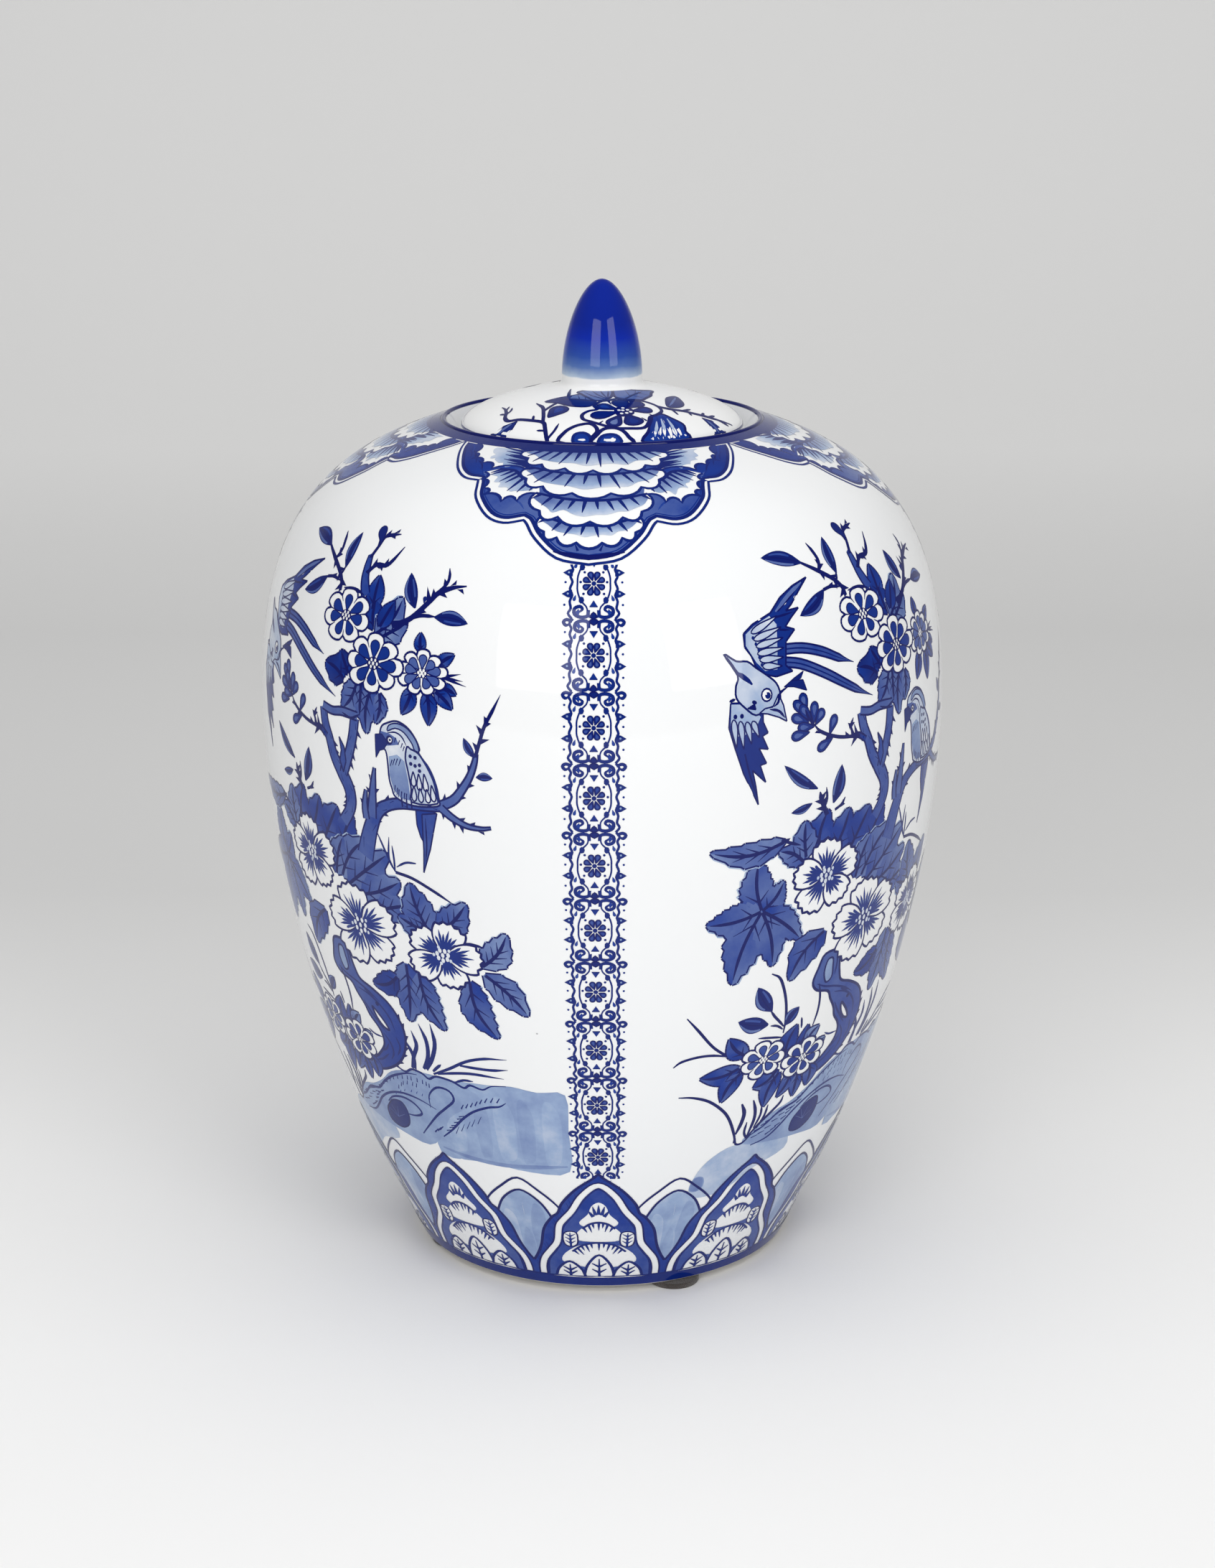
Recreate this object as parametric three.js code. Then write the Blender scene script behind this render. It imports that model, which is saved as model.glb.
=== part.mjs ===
// A lidded ginger jar: a turned porcelain body on a foot ring, a domed lid with a bullet finial that
// drops into the mouth, and four felt pads stuck under the foot. Millimetres, +Z up, with the origin
// on the jar's axis, on the surface that it stands on.
import * as THREE from "three";

// ---------- driving sizes ----------

const SEGMENTS = 48; // flats round every turned piece
const TOUCH_GAP = 0.3; // between pieces that rest on each other

// felt pads
const PAD_COUNT = 4;
const PAD_RADIUS = 8;
const PAD_THICKNESS = 1.8;
const PAD_CORNER = 0.4;
const PAD_INSET = 1; // how far a pad sits in from the foot's edge
const PAD_FIRST_REACH = 2.5; // how far the first pad shows past the foot's edge
const PAD_FIRST_ANGLE = -66; // degrees from +X
const PAD_SEGMENTS = 24;

// body, with heights counted from the underside of the foot ring
const FOOT_RADIUS = 60.5;
const FOOT_FLARE = 0.456; // outward run for each unit of height on the straight foot
const FOOT_STRAIGHT = 27.9; // height of the straight foot
const BELLY_RADIUS = 106;
const BELLY_HEIGHT = 175.3;
const RIM_RADIUS = 49.2;
const RIM_HEIGHT = 262.8; // to the crest of the lip
const RIM_SLOPE = 17.9; // degrees that the shoulder still rises at the rim
const FOOT_CURVE = 13; // reach of the curve above the straight foot
const BELLY_CURVE_BELOW = 68.1; // reach of the belly's curve downwards
const BELLY_CURVE_ABOVE = 63.1; // and upwards
const RIM_CURVE = 32.7; // reach of the shoulder's curve back from the rim
const WALL = 6;
const FLOOR_THICKNESS = 8;
const FOOT_RING_WIDTH = 7;
const FOOT_RECESS = 5; // inside the foot ring
const FOOT_CHAMFER = 0.8;

// mouth, with depths counted down from the rim
const LIP_ROUND = 0.7; // radius of the lip's crest
const LEDGE_DEPTH = 6.2;
const LEDGE_WIDTH = 7.5;
const THROAT_HEIGHT = 7;
const MOUTH_TAPER = 3; // how much narrower the mouth is at the ledge than at the lip

// lid, with heights counted up from its seat on the ledge
const LID_EDGE_CLEARANCE = 1.7; // lid's edge to the mouth wall at the ledge
const LID_EDGE_HEIGHT = 3.2; // widest circle above the seat
const LID_EDGE_TUCK = 1.2; // how far the edge turns in below the widest circle
const LID_RISE = 12.4; // dome from its widest circle to the finial
const LID_EDGE_CURVE = 4.6;
const LID_CROWN_CURVE = 18.2;
const LID_CROWN_SLOPE = 9.9; // degrees that the dome still rises at the finial
const LID_WALL = 4.5;
const FLANGE_CLEARANCE = 0.9; // flange to throat
const FLANGE_WALL = 4;
const FLANGE_DEPTH = 8;
const CAVITY_SHOULDER = 1.3; // drop of the hollow's ceiling where it meets the flange

// finial, fired in one piece with the lid and hollow from below
const FINIAL_RADIUS = 12.3;
const FINIAL_COLLAR = 2.1; // straight stretch above the dome
const FINIAL_HEIGHT = 29.6; // above the collar
const FINIAL_SIDE_CURVE = 14.8;
const FINIAL_TIP_CURVE = 5.9; // how bluntly the nose is rounded
const FINIAL_WALL = 5.5;

// points along each curve
const FOOT_STEPS = 3;
const BELLY_STEPS = 9;
const SHOULDER_STEPS = 11;
const LIP_STEPS = 4;
const DOME_STEPS = 8;
const FINIAL_STEPS = 9;
const BORE_STEPS = 4;

// ---------- heights that follow ----------

const footZ = PAD_THICKNESS + TOUCH_GAP;
const rimZ = footZ + RIM_HEIGHT;
const ledgeZ = rimZ - LEDGE_DEPTH;
const mouthRadius = RIM_RADIUS - 2 * LIP_ROUND - MOUTH_TAPER; // at the ledge
const throatRadius = mouthRadius - LEDGE_WIDTH;

const porcelain = { color: 0xeef0f2, roughness: 0.12, metalness: 0 };
const felt = { color: 0x2b2019, roughness: 0.95, metalness: 0 };

// ---------- shape helpers; every outline point is (radius, height) ----------

const point = (radius, height) => new THREE.Vector2(radius, height);

const slopeOf = (degrees) => {
  const angle = THREE.MathUtils.degToRad(degrees);
  return point(-Math.cos(angle), Math.sin(angle));
};

function curve(start, startHandle, endHandle, end, steps) {
  return new THREE.CubicBezierCurve(start, startHandle, endHandle, end).getPoints(steps);
}

// The same outline pushed inwards by a wall's thickness, square to the surface.
function innerSide(outline, wall) {
  return outline.map((at, i) => {
    const before = outline[Math.max(i - 1, 0)];
    const after = outline[Math.min(i + 1, outline.length - 1)];
    const along = after.clone().sub(before).normalize();
    return point(at.x - along.y * wall, at.y + along.x * wall);
  });
}

// A solid of revolution about +Z from a closed outline, walked up its outer side.
function turned(name, outline, look) {
  const geometry = new THREE.LatheGeometry([...outline, outline[0].clone()], SEGMENTS);
  geometry.rotateX(Math.PI / 2);
  const mesh = new THREE.Mesh(geometry, new THREE.MeshStandardMaterial(look));
  mesh.name = name;
  return mesh;
}

// ---------- jar body ----------

// Outer side from the top of the foot's chamfer to the rim, in the body's own heights.
function bodySide() {
  const foot = point(FOOT_RADIUS, 0);
  const footDirection = point(FOOT_FLARE, 1).normalize();
  const flareTop = point(FOOT_RADIUS + FOOT_FLARE * FOOT_STRAIGHT, FOOT_STRAIGHT);
  const belly = point(BELLY_RADIUS, BELLY_HEIGHT);
  const rim = point(RIM_RADIUS, RIM_HEIGHT - LIP_ROUND);
  const straight = Array.from({ length: FOOT_STEPS }, (_, i) => foot.clone().lerp(flareTop, i / FOOT_STEPS));
  const rise = curve(
    flareTop,
    flareTop.clone().addScaledVector(footDirection, FOOT_CURVE),
    point(belly.x, belly.y - BELLY_CURVE_BELOW),
    belly,
    BELLY_STEPS,
  );
  const shoulder = curve(
    belly,
    point(belly.x, belly.y + BELLY_CURVE_ABOVE),
    rim.clone().addScaledVector(slopeOf(RIM_SLOPE), -RIM_CURVE),
    rim,
    SHOULDER_STEPS,
  );
  return [...straight, ...rise, ...shoulder.slice(1)].map((at) => point(at.x, at.y + footZ));
}

function jarBody() {
  const outer = bodySide();
  const lip = Array.from({ length: LIP_STEPS }, (_, i) => {
    const turn = ((i + 1) / LIP_STEPS) * Math.PI;
    return point(RIM_RADIUS - LIP_ROUND * (1 - Math.cos(turn)), rimZ - LIP_ROUND * (1 - Math.sin(turn)));
  });
  const throatTop = point(throatRadius, ledgeZ);
  const throatBottom = point(throatRadius, ledgeZ - THROAT_HEIGHT);
  const floorZ = footZ + FOOT_RECESS + FLOOR_THICKNESS;
  const hollow = innerSide(outer, WALL)
    .filter((at) => at.x > throatRadius + 1 && at.y < throatBottom.y - 1 && at.y > floorZ + 1)
    .reverse();
  const floorRadius = hollow[hollow.length - 1].x - FOOT_FLARE * (hollow[hollow.length - 1].y - floorZ);
  const recessRadius = FOOT_RADIUS - FOOT_RING_WIDTH;
  outer[0] = point(FOOT_RADIUS + FOOT_FLARE * FOOT_CHAMFER, footZ + FOOT_CHAMFER);
  const outline = [
    point(0, footZ + FOOT_RECESS),
    point(recessRadius - FOOT_CHAMFER, footZ + FOOT_RECESS),
    point(recessRadius, footZ + FOOT_RECESS - FOOT_CHAMFER),
    point(recessRadius, footZ + FOOT_CHAMFER),
    point(recessRadius + FOOT_CHAMFER, footZ),
    point(FOOT_RADIUS - FOOT_CHAMFER, footZ),
    ...outer,
    ...lip,
    point(mouthRadius, ledgeZ),
    throatTop,
    throatBottom,
    ...hollow,
    point(floorRadius, floorZ),
    point(0, floorZ),
  ];
  return turned("jar_body", outline, porcelain);
}

// ---------- lid ----------

function lid() {
  const seatZ = ledgeZ + TOUCH_GAP;
  const edgeRadius = mouthRadius - LID_EDGE_CLEARANCE;
  const flangeRadius = throatRadius - FLANGE_CLEARANCE;
  const edge = point(edgeRadius, seatZ + LID_EDGE_HEIGHT);
  const crown = point(FINIAL_RADIUS, edge.y + LID_RISE);
  const dome = curve(
    edge,
    point(edge.x, edge.y + LID_EDGE_CURVE),
    crown.clone().addScaledVector(slopeOf(LID_CROWN_SLOPE), -LID_CROWN_CURVE),
    crown,
    DOME_STEPS,
  );
  const collarTop = point(FINIAL_RADIUS, crown.y + FINIAL_COLLAR);
  const tip = point(0, collarTop.y + FINIAL_HEIGHT);
  const finial = curve(
    collarTop,
    point(collarTop.x, collarTop.y + FINIAL_SIDE_CURVE),
    point(FINIAL_TIP_CURVE, tip.y),
    tip,
    FINIAL_STEPS,
  );
  const boreRadius = FINIAL_RADIUS - FINIAL_WALL;
  const boreTop = tip.y - 2 * FINIAL_WALL;
  const bore = Array.from({ length: BORE_STEPS }, (_, i) => {
    const turn = (1 - i / BORE_STEPS) * (Math.PI / 2);
    return point(boreRadius * Math.cos(turn), boreTop - boreRadius * (1 - Math.sin(turn)));
  });
  bore[0].x = 0;
  const hollowRadius = flangeRadius - FLANGE_WALL;
  const cavity = innerSide(dome, LID_WALL)
    .filter((at) => at.x > boreRadius + 1 && at.x < hollowRadius - 1)
    .reverse();
  const outline = [
    point(hollowRadius, seatZ - FLANGE_DEPTH),
    point(flangeRadius, seatZ - FLANGE_DEPTH),
    point(flangeRadius, seatZ),
    point(edgeRadius - LID_EDGE_TUCK, seatZ),
    ...dome,
    ...finial.slice(0, -1),
    tip,
    ...bore,
    point(boreRadius, boreTop - boreRadius),
    point(boreRadius, cavity[0].y),
    ...cavity,
    point(hollowRadius, cavity[cavity.length - 1].y - CAVITY_SHOULDER),
  ];
  return turned("lid", outline, porcelain);
}

// ---------- felt pads ----------

function feltPad(index) {
  const outline = [
    point(0, 0),
    point(PAD_RADIUS - PAD_CORNER, 0),
    point(PAD_RADIUS, PAD_CORNER),
    point(PAD_RADIUS, PAD_THICKNESS),
    point(0, PAD_THICKNESS),
  ];
  const geometry = new THREE.LatheGeometry(outline, PAD_SEGMENTS).rotateX(Math.PI / 2);
  const mesh = new THREE.Mesh(geometry, new THREE.MeshStandardMaterial(felt));
  mesh.name = `felt_pad_${index + 1}`;
  const angle = THREE.MathUtils.degToRad(PAD_FIRST_ANGLE + (360 / PAD_COUNT) * index);
  const edge = FOOT_RADIUS + (index === 0 ? PAD_FIRST_REACH : -PAD_INSET);
  const radius = edge - PAD_RADIUS;
  mesh.position.set(radius * Math.cos(angle), radius * Math.sin(angle), 0);
  return mesh;
}

// ---------- assembly ----------

const gingerJar = new THREE.Group();
gingerJar.add(jarBody(), lid());
for (let index = 0; index < PAD_COUNT; index += 1) gingerJar.add(feltPad(index));

export default gingerJar;
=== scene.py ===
import math

import bpy
import numpy as np
from bpy.props import FloatProperty, FloatVectorProperty, IntProperty, PointerProperty
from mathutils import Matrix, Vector
from mathutils.geometry import delaunay_2d_cdt


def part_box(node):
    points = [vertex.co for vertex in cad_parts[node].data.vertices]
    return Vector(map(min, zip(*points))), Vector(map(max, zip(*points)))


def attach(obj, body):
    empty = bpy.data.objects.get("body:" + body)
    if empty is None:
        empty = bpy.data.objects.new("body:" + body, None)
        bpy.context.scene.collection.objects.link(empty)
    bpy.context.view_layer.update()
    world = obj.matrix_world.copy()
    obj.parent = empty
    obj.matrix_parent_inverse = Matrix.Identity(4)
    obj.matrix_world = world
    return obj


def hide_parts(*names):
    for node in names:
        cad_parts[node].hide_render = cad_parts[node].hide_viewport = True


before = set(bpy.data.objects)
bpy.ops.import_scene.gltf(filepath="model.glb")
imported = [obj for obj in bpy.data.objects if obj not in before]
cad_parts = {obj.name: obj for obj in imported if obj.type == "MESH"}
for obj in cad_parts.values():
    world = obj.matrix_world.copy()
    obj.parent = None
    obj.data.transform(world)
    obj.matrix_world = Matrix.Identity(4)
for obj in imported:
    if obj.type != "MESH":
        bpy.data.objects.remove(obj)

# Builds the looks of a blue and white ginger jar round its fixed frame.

bl_info = {
    "name": "Blue and White Ginger Jar",
    "version": (1, 0, 0),
    "blender": (4, 5, 0),
    "location": "View3D > Sidebar > Ginger Jar",
    "description": "Turns the porcelain, lays the cobalt brushwork and sets the studio",
    "category": "Object",
}

MM = 0.001
JAR_LOW, JAR_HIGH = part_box("jar_body")
LID_LOW, LID_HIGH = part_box("lid")
PAD_NODES = sorted(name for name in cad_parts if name.startswith("felt_pad"))
PAD_LOW, PAD_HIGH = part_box(PAD_NODES[0])

# ---------- sizes and colours a user would change ----------


def length(name, description, default):
    """A length property, given in millimetres and kept in metres."""
    return FloatProperty(name=name, description=description, default=default * MM,
                         subtype="DISTANCE", unit="LENGTH", precision=5)


def colour(name, description, default):
    """A colour property, in linear red, green and blue."""
    return FloatVectorProperty(name=name, description=description, default=default,
                               subtype="COLOR", size=3, min=0, max=1)


class JarSizes(bpy.types.PropertyGroup):
    """Sizes of the turned body, with heights counted from the underside of the foot."""

    foot_radius: length("Foot radius", "Outer radius of the foot ring", 60.5)
    foot_straight: length("Straight foot", "Height of the straight flare above the foot", 27.9)
    belly_height: length("Belly height", "Height of the widest circle", 175.3)
    rim_radius: length("Rim radius", "Outer radius of the lip", 49.2)
    lip_round: length("Lip round", "Radius of the lip's crest", 0.7)
    wall: length("Wall", "Thickness of the turned wall", 6.0)
    ledge_depth: length("Ledge depth", "Depth of the lid's ledge below the lip", 6.2)
    ledge_width: length("Ledge width", "Width of the lid's ledge", 7.5)
    segments: IntProperty(name="Segments", description="Flats round a turned piece", default=192)


class LidSizes(bpy.types.PropertyGroup):
    """Sizes of the lid and its finial."""

    finial_radius: length("Finial radius", "Radius of the finial at its collar", 12.3)
    finial_height: length("Finial height", "Height of the finial above its collar", 29.6)
    edge_height: length("Edge height", "Widest circle above the seat", 3.2)
    rise: length("Rise", "Height of the dome above its widest circle", 12.4)


class PaintSettings(bpy.types.PropertyGroup):
    """Colours of the glaze and the cobalt."""

    white: colour("White glaze", "Bare porcelain under clear glaze", (0.835, 0.84, 0.84))
    pale: colour("Pale wash", "Thinnest cobalt wash", (0.28, 0.375, 0.565))
    middle: colour("Middle blue", "Cobalt filling of leaves and petals", (0.003, 0.031, 0.25))
    deep: colour("Deep blue", "Cobalt outlines", (0.001, 0.005, 0.105))
    dip: colour("Dipped blue", "Thick cobalt on the finial", (0.002, 0.02, 0.34))
    film: length("Film", "How far the painted film stands on the clay", 0.05)
    glaze_roughness: FloatProperty(name="Glaze roughness", description="Roughness of the glaze",
                                   default=0.045, min=0, max=1)


# ---------- curves; every outline point is (radius, height) in metres ----------


def bezier(start, start_handle, end_handle, end, steps):
    """A cubic curve between two points, pulled towards two handles."""
    t = np.linspace(0, 1, steps + 1)[:, None]
    a, b, c, d = (np.array(p, float) for p in (start, start_handle, end_handle, end))
    return (1 - t) ** 3 * a + 3 * (1 - t) ** 2 * t * b + 3 * (1 - t) * t ** 2 * c + t ** 3 * d


def inward(degrees):
    """Direction of a slope that climbs towards the axis."""
    return np.array([-math.cos(math.radians(degrees)), math.sin(math.radians(degrees))])


def inner_side(outline, wall):
    """The same outline pushed in by a wall's thickness, square to the surface."""
    along = np.gradient(outline, axis=0)
    along /= np.linalg.norm(along, axis=1)[:, None]
    return outline + wall * np.stack([-along[:, 1], along[:, 0]], axis=1)


class Side:
    """One turned side, read by its arc length in millimetres from the lower end."""

    def __init__(self, outline):
        self.outline = np.array(outline)
        steps = np.hypot(*np.diff(self.outline, axis=0).T)
        self.arc = np.concatenate([[0], np.cumsum(steps)]) / MM
        slope = np.gradient(self.outline, axis=0)
        self.slope = slope / np.linalg.norm(slope, axis=1)[:, None]

    def radius(self, height):
        return np.interp(height, self.arc, self.outline[:, 0])

    def degree(self, height):
        """Width of one degree in millimetres at this height."""
        return math.radians(1) * self.radius(height) / MM

    def place(self, degrees, height, film):
        """Points and outward normals at angles from the front, positive to the right."""
        turn = np.radians(degrees)
        radius = self.radius(height)
        level = np.interp(height, self.arc, self.outline[:, 1])
        out = np.interp(height, self.arc, self.slope[:, 1])
        up = -np.interp(height, self.arc, self.slope[:, 0])
        size = np.hypot(out, up)
        normal = np.stack([out * np.sin(turn), -out * np.cos(turn), up], axis=-1) / size[:, None]
        point = np.stack([radius * np.sin(turn), -radius * np.cos(turn), level], axis=-1)
        return point + film * normal, normal


FOOT_FLARE = 0.456
FOOT_CURVE = 13.0 * MM
BELLY_BELOW = 68.1 * MM
BELLY_ABOVE = 63.1 * MM
RIM_CURVE = 32.7 * MM
RIM_SLOPE = 17.9
BELLY_RADIUS = JAR_HIGH.x
FOOT_CHAMFER = 0.8 * MM


def jar_side(sizes):
    """The body's outer side from the foot to the crest of the lip."""
    foot = np.array([sizes.foot_radius, JAR_LOW.z])
    flare = foot + np.array([FOOT_FLARE, 1]) * sizes.foot_straight
    direction = (flare - foot) / np.linalg.norm(flare - foot)
    belly = np.array([BELLY_RADIUS, JAR_LOW.z + sizes.belly_height])
    rim = np.array([sizes.rim_radius, JAR_HIGH.z - sizes.lip_round])
    straight = foot + np.linspace(0, 1, 13)[:-1, None] * (flare - foot)
    rise = bezier(flare, flare + direction * FOOT_CURVE, belly - (0, BELLY_BELOW), belly, 60)
    fall = bezier(belly, belly + (0, BELLY_ABOVE), rim - inward(RIM_SLOPE) * RIM_CURVE, rim, 70)
    return Side(np.vstack([straight, rise, fall[1:]]))


LID_EDGE_CURVE = 4.6 * MM
LID_CROWN_CURVE = 18.2 * MM
LID_CROWN_SLOPE = 9.9
FINIAL_COLLAR = 2.1 * MM
FINIAL_SIDE_CURVE = 14.8 * MM
FINIAL_TIP_CURVE = 5.9 * MM
LID_WALL = 4.5 * MM
FLANGE_WALL = 4 * MM
FLANGE_DEPTH = 8 * MM


def lid_dome(sizes):
    """The lid's upper side from its widest circle to the finial."""
    seat = LID_LOW.z + FLANGE_DEPTH
    edge = np.array([LID_HIGH.x, seat + sizes.edge_height])
    crown = np.array([sizes.finial_radius, edge[1] + sizes.rise])
    return Side(bezier(edge, edge + (0, LID_EDGE_CURVE),
                       crown - inward(LID_CROWN_SLOPE) * LID_CROWN_CURVE, crown, 48))


# ---------- shader maths as plain expressions ----------


class Shade:
    """A node tree in which sockets are combined with ordinary operators."""

    def __init__(self, name):
        self.material = bpy.data.materials.new(name)
        self.material.use_nodes = True
        self.tree = self.material.node_tree
        self.tree.nodes.clear()

    def node(self, kind, inputs=None, output=0, **settings):
        """Any node: its settings first, then values or links of its sockets."""
        made = self.tree.nodes.new(kind)
        stops = settings.pop("stops", None)
        for key, value in settings.items():
            setattr(made, key, value)
        if stops:
            ramp = made.color_ramp
            while len(ramp.elements) < len(stops):
                ramp.elements.new(1)
            for element, (place, shade) in zip(ramp.elements, stops):
                element.position = place
                element.color = (*shade, 1)
        for key, value in (inputs or {}).items():
            if isinstance(value, Link):
                self.tree.links.new(value.socket, made.inputs[key])
            else:
                made.inputs[key].default_value = value
        return Link(self, made.outputs[output]) if made.outputs else made

    def coordinates(self):
        return self.node("ShaderNodeTexCoord", output="Object")

    def along(self, axis):
        """The object's own coordinate along one axis."""
        return self.node("ShaderNodeSeparateXYZ", {"Vector": self.coordinates()}, output=axis)

    def noise(self, scale, detail=3, roughness=0.5, at=None):
        inputs = {"Vector": at or self.coordinates(), "Scale": scale, "Detail": detail,
                  "Roughness": roughness}
        return self.node("ShaderNodeTexNoise", inputs, output="Fac")

    def mix(self, factor, first, second):
        inputs = {0: factor, 6: first, 7: second}
        return self.node("ShaderNodeMix", inputs, output=2, data_type="RGBA")

    def finish(self, surface):
        output = self.tree.nodes.new("ShaderNodeOutputMaterial")
        self.tree.links.new(surface.socket, output.inputs["Surface"])
        return self.material


class Link:
    """One output socket; adding, scaling or comparing it adds the Math node."""

    def __init__(self, shade, socket):
        self.shade = shade
        self.socket = socket

    def math(self, operation, first, second):
        return self.shade.node("ShaderNodeMath", {0: first, 1: second}, operation=operation)

    def __add__(self, other):
        return self.math("ADD", self, other)

    def __sub__(self, other):
        return self.math("SUBTRACT", self, other)

    def __rsub__(self, other):
        return self.math("SUBTRACT", other, self)

    def __mul__(self, other):
        return self.math("MULTIPLY", self, other)

    def __truediv__(self, other):
        return self.math("DIVIDE", self, other)

    __radd__ = __add__
    __rmul__ = __mul__

    def clamp(self):
        return self.math("MAXIMUM", self.math("MINIMUM", self, 1.0), 0.0)


GLAZE_IOR = 1.36


def opaque(shade):
    return (*shade, 1)


def glazed(shade, base, bump, settings):
    """Clear glossy glaze over a colour."""
    surface = shade.node("ShaderNodeBsdfPrincipled", {
        "Base Color": base, "Roughness": settings.glaze_roughness, "IOR": GLAZE_IOR, "Normal": bump})
    return shade.finish(surface)


def glaze_bump(shade):
    """The faint waviness of a poured glaze."""
    wave = shade.noise(55, detail=1)
    return shade.node("ShaderNodeBump", {"Height": wave, "Strength": 0.02, "Distance": 0.001})


def cobalt_stops(paint):
    """Thin to thick cobalt under glaze."""
    white, pale, middle, deep = map(np.array, (paint.white, paint.pale, paint.middle, paint.deep))
    return [
        (0.0, tuple(white)),
        (0.12, tuple(white * 0.45 + pale * 0.55)),
        (0.25, tuple(pale)),
        (0.45, tuple(pale * 0.3 + middle * 0.7)),
        (0.62, tuple(middle)),
        (0.82, tuple(middle * 0.3 + deep * 0.7)),
        (1.0, tuple(deep)),
    ]


LIP_PAINT = 1.0 * MM
LIP_FADE = 0.2 * MM
COOL_CAST = (0.965, 0.975, 0.99)
FLECK_COLOUR = (0.2, 0.2, 0.22)


def porcelain_material(paint):
    """White body with a cool cast in broad patches, a rare dark fleck and a blue lip."""
    shade = Shade("porcelain")
    patches = shade.noise(14, detail=2)
    cool = tuple(c * k for c, k in zip(paint.white, COOL_CAST))
    base = shade.mix(patches, opaque(paint.white), opaque(cool))
    flecks = shade.node("ShaderNodeTexVoronoi", {"Vector": shade.coordinates(), "Scale": 42.0})
    fleck = ((0.016 - flecks) * 400).clamp()
    base = shade.mix(fleck * 0.6, base, opaque(FLECK_COLOUR))
    height = shade.along("Z")
    lip = ((height - (JAR_HIGH.z - LIP_PAINT)) / LIP_FADE).clamp()
    base = shade.mix(lip, base, opaque(paint.deep))
    return glazed(shade, base, glaze_bump(shade), paint)


FADE_WOBBLE = 2.5 * MM
EDGE_WOBBLE = 0.9 * MM
EDGE_FADE = 0.5 * MM
DIP_EDGE = (0.5, 0.6, 0.72)
DIP_THIN = (0.09, 0.17, 0.43)
DIP_HALF = (0.025, 0.075, 0.36)


def lid_material(paint, fade_low, fade_high):
    """Porcelain whose finial is dipped in cobalt that fades out at the collar."""
    shade = Shade("lid_porcelain")
    height = shade.along("Z")
    wobble = (shade.noise(120, detail=2) - 0.5) * FADE_WOBBLE
    rise = ((height + wobble - fade_low) / (fade_high - fade_low)).clamp()
    edge = ((height + (shade.noise(190) - 0.5) * EDGE_WOBBLE - fade_low) / EDGE_FADE).clamp()
    mottle = (shade.noise(260, detail=4) - 0.5) * 0.06
    dipped = shade.node("ShaderNodeValToRGB", {"Fac": rise + mottle}, stops=[
        (0.0, DIP_EDGE), (0.1, tuple(paint.pale)), (0.22, DIP_THIN), (0.42, DIP_HALF),
        (0.75, tuple(paint.dip)), (1.0, tuple(c * 0.75 for c in paint.dip))])
    base = shade.mix(edge, opaque(paint.white), dipped)
    return glazed(shade, base, glaze_bump(shade), paint)


def cobalt_material(paint):
    """Brushed cobalt: the painted tone, cloudy where the brush pooled."""
    shade = Shade("cobalt_brushwork")
    tone = shade.node("ShaderNodeAttribute", output="Fac", attribute_name="tone")
    cloud = (shade.noise(130, detail=4, roughness=0.6) - 0.5) * 0.3
    streak = (shade.noise(45, detail=2) - 0.5) * 0.14
    weight = (1.05 - tone) * 1.2
    painted = tone + (cloud + streak) * weight.clamp()
    cobalt = shade.node("ShaderNodeValToRGB", {"Fac": painted}, stops=cobalt_stops(paint))
    return glazed(shade, cobalt, glaze_bump(shade), paint)


def biscuit_material():
    """Bare fired clay on the foot ring."""
    shade = Shade("bare_clay")
    grain = shade.noise(900, detail=4)
    base = shade.mix(grain, (0.62, 0.57, 0.5, 1), (0.8, 0.77, 0.72, 1))
    bump = shade.node("ShaderNodeBump", {"Height": grain, "Strength": 0.3, "Distance": 0.0003})
    surface = shade.node("ShaderNodeBsdfPrincipled", {"Base Color": base, "Roughness": 0.7, "Normal": bump})
    return shade.finish(surface)


def felt_material():
    """Dense dark felt with stray paler fibres."""
    shade = Shade("felt")
    fibres = shade.noise(2400, detail=6, roughness=0.75)
    clumps = shade.noise(500, detail=3)
    base = shade.mix(fibres, (0.008, 0.006, 0.005, 1), (0.075, 0.055, 0.04, 1))
    base = shade.mix(clumps * 0.4, base, (0.02, 0.014, 0.01, 1))
    bump = shade.node("ShaderNodeBump", {"Height": fibres, "Strength": 0.9, "Distance": 0.0006})
    surface = shade.node("ShaderNodeBsdfPrincipled", {
        "Base Color": base, "Roughness": 0.95, "Normal": bump, "Sheen Weight": 0.4})
    return shade.finish(surface)


PAPER_NEAR = -0.1
PAPER_FAR = 2.3
# Paper greys from near to far: painted shade, darker behind the table and paler again up the wall, standing
# in for the fall of light.
PAPER_SHADE_GREYS = ((0.0, 0.9), (0.08, 0.82), (0.18, 0.69), (0.38, 0.67), (0.6, 0.83), (0.85, 0.82),
               (1.0, 0.72))


def stage_material():
    """Matte paper with painted shade: white on the table, greyer behind it and paler again up the wall, as
    the light falls off.
    """
    shade = Shade("studio_paper")
    away = shade.along("Y")
    grain = (shade.noise(3) - 0.5) * 0.02
    far = (away - PAPER_NEAR) / (PAPER_FAR - PAPER_NEAR) + grain
    # Painted shade: the paper's grey follows its distance back along the sweep, not the lamps.
    base = shade.node("ShaderNodeValToRGB", {"Fac": far}, stops=[
        (at, (grey, grey, grey * 0.995)) for at, grey in PAPER_SHADE_GREYS])
    surface = shade.node("ShaderNodeBsdfPrincipled", {"Base Color": base, "Roughness": 0.8})
    return shade.finish(surface)


# ---------- turned pieces ----------


def deselect():
    if bpy.context.mode != "OBJECT":
        bpy.ops.object.mode_set(mode="OBJECT")
    bpy.ops.object.select_all(action="DESELECT")


def new_object(name, mesh):
    made = bpy.data.objects.new(name, mesh)
    bpy.context.scene.collection.objects.link(made)
    return made


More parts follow.
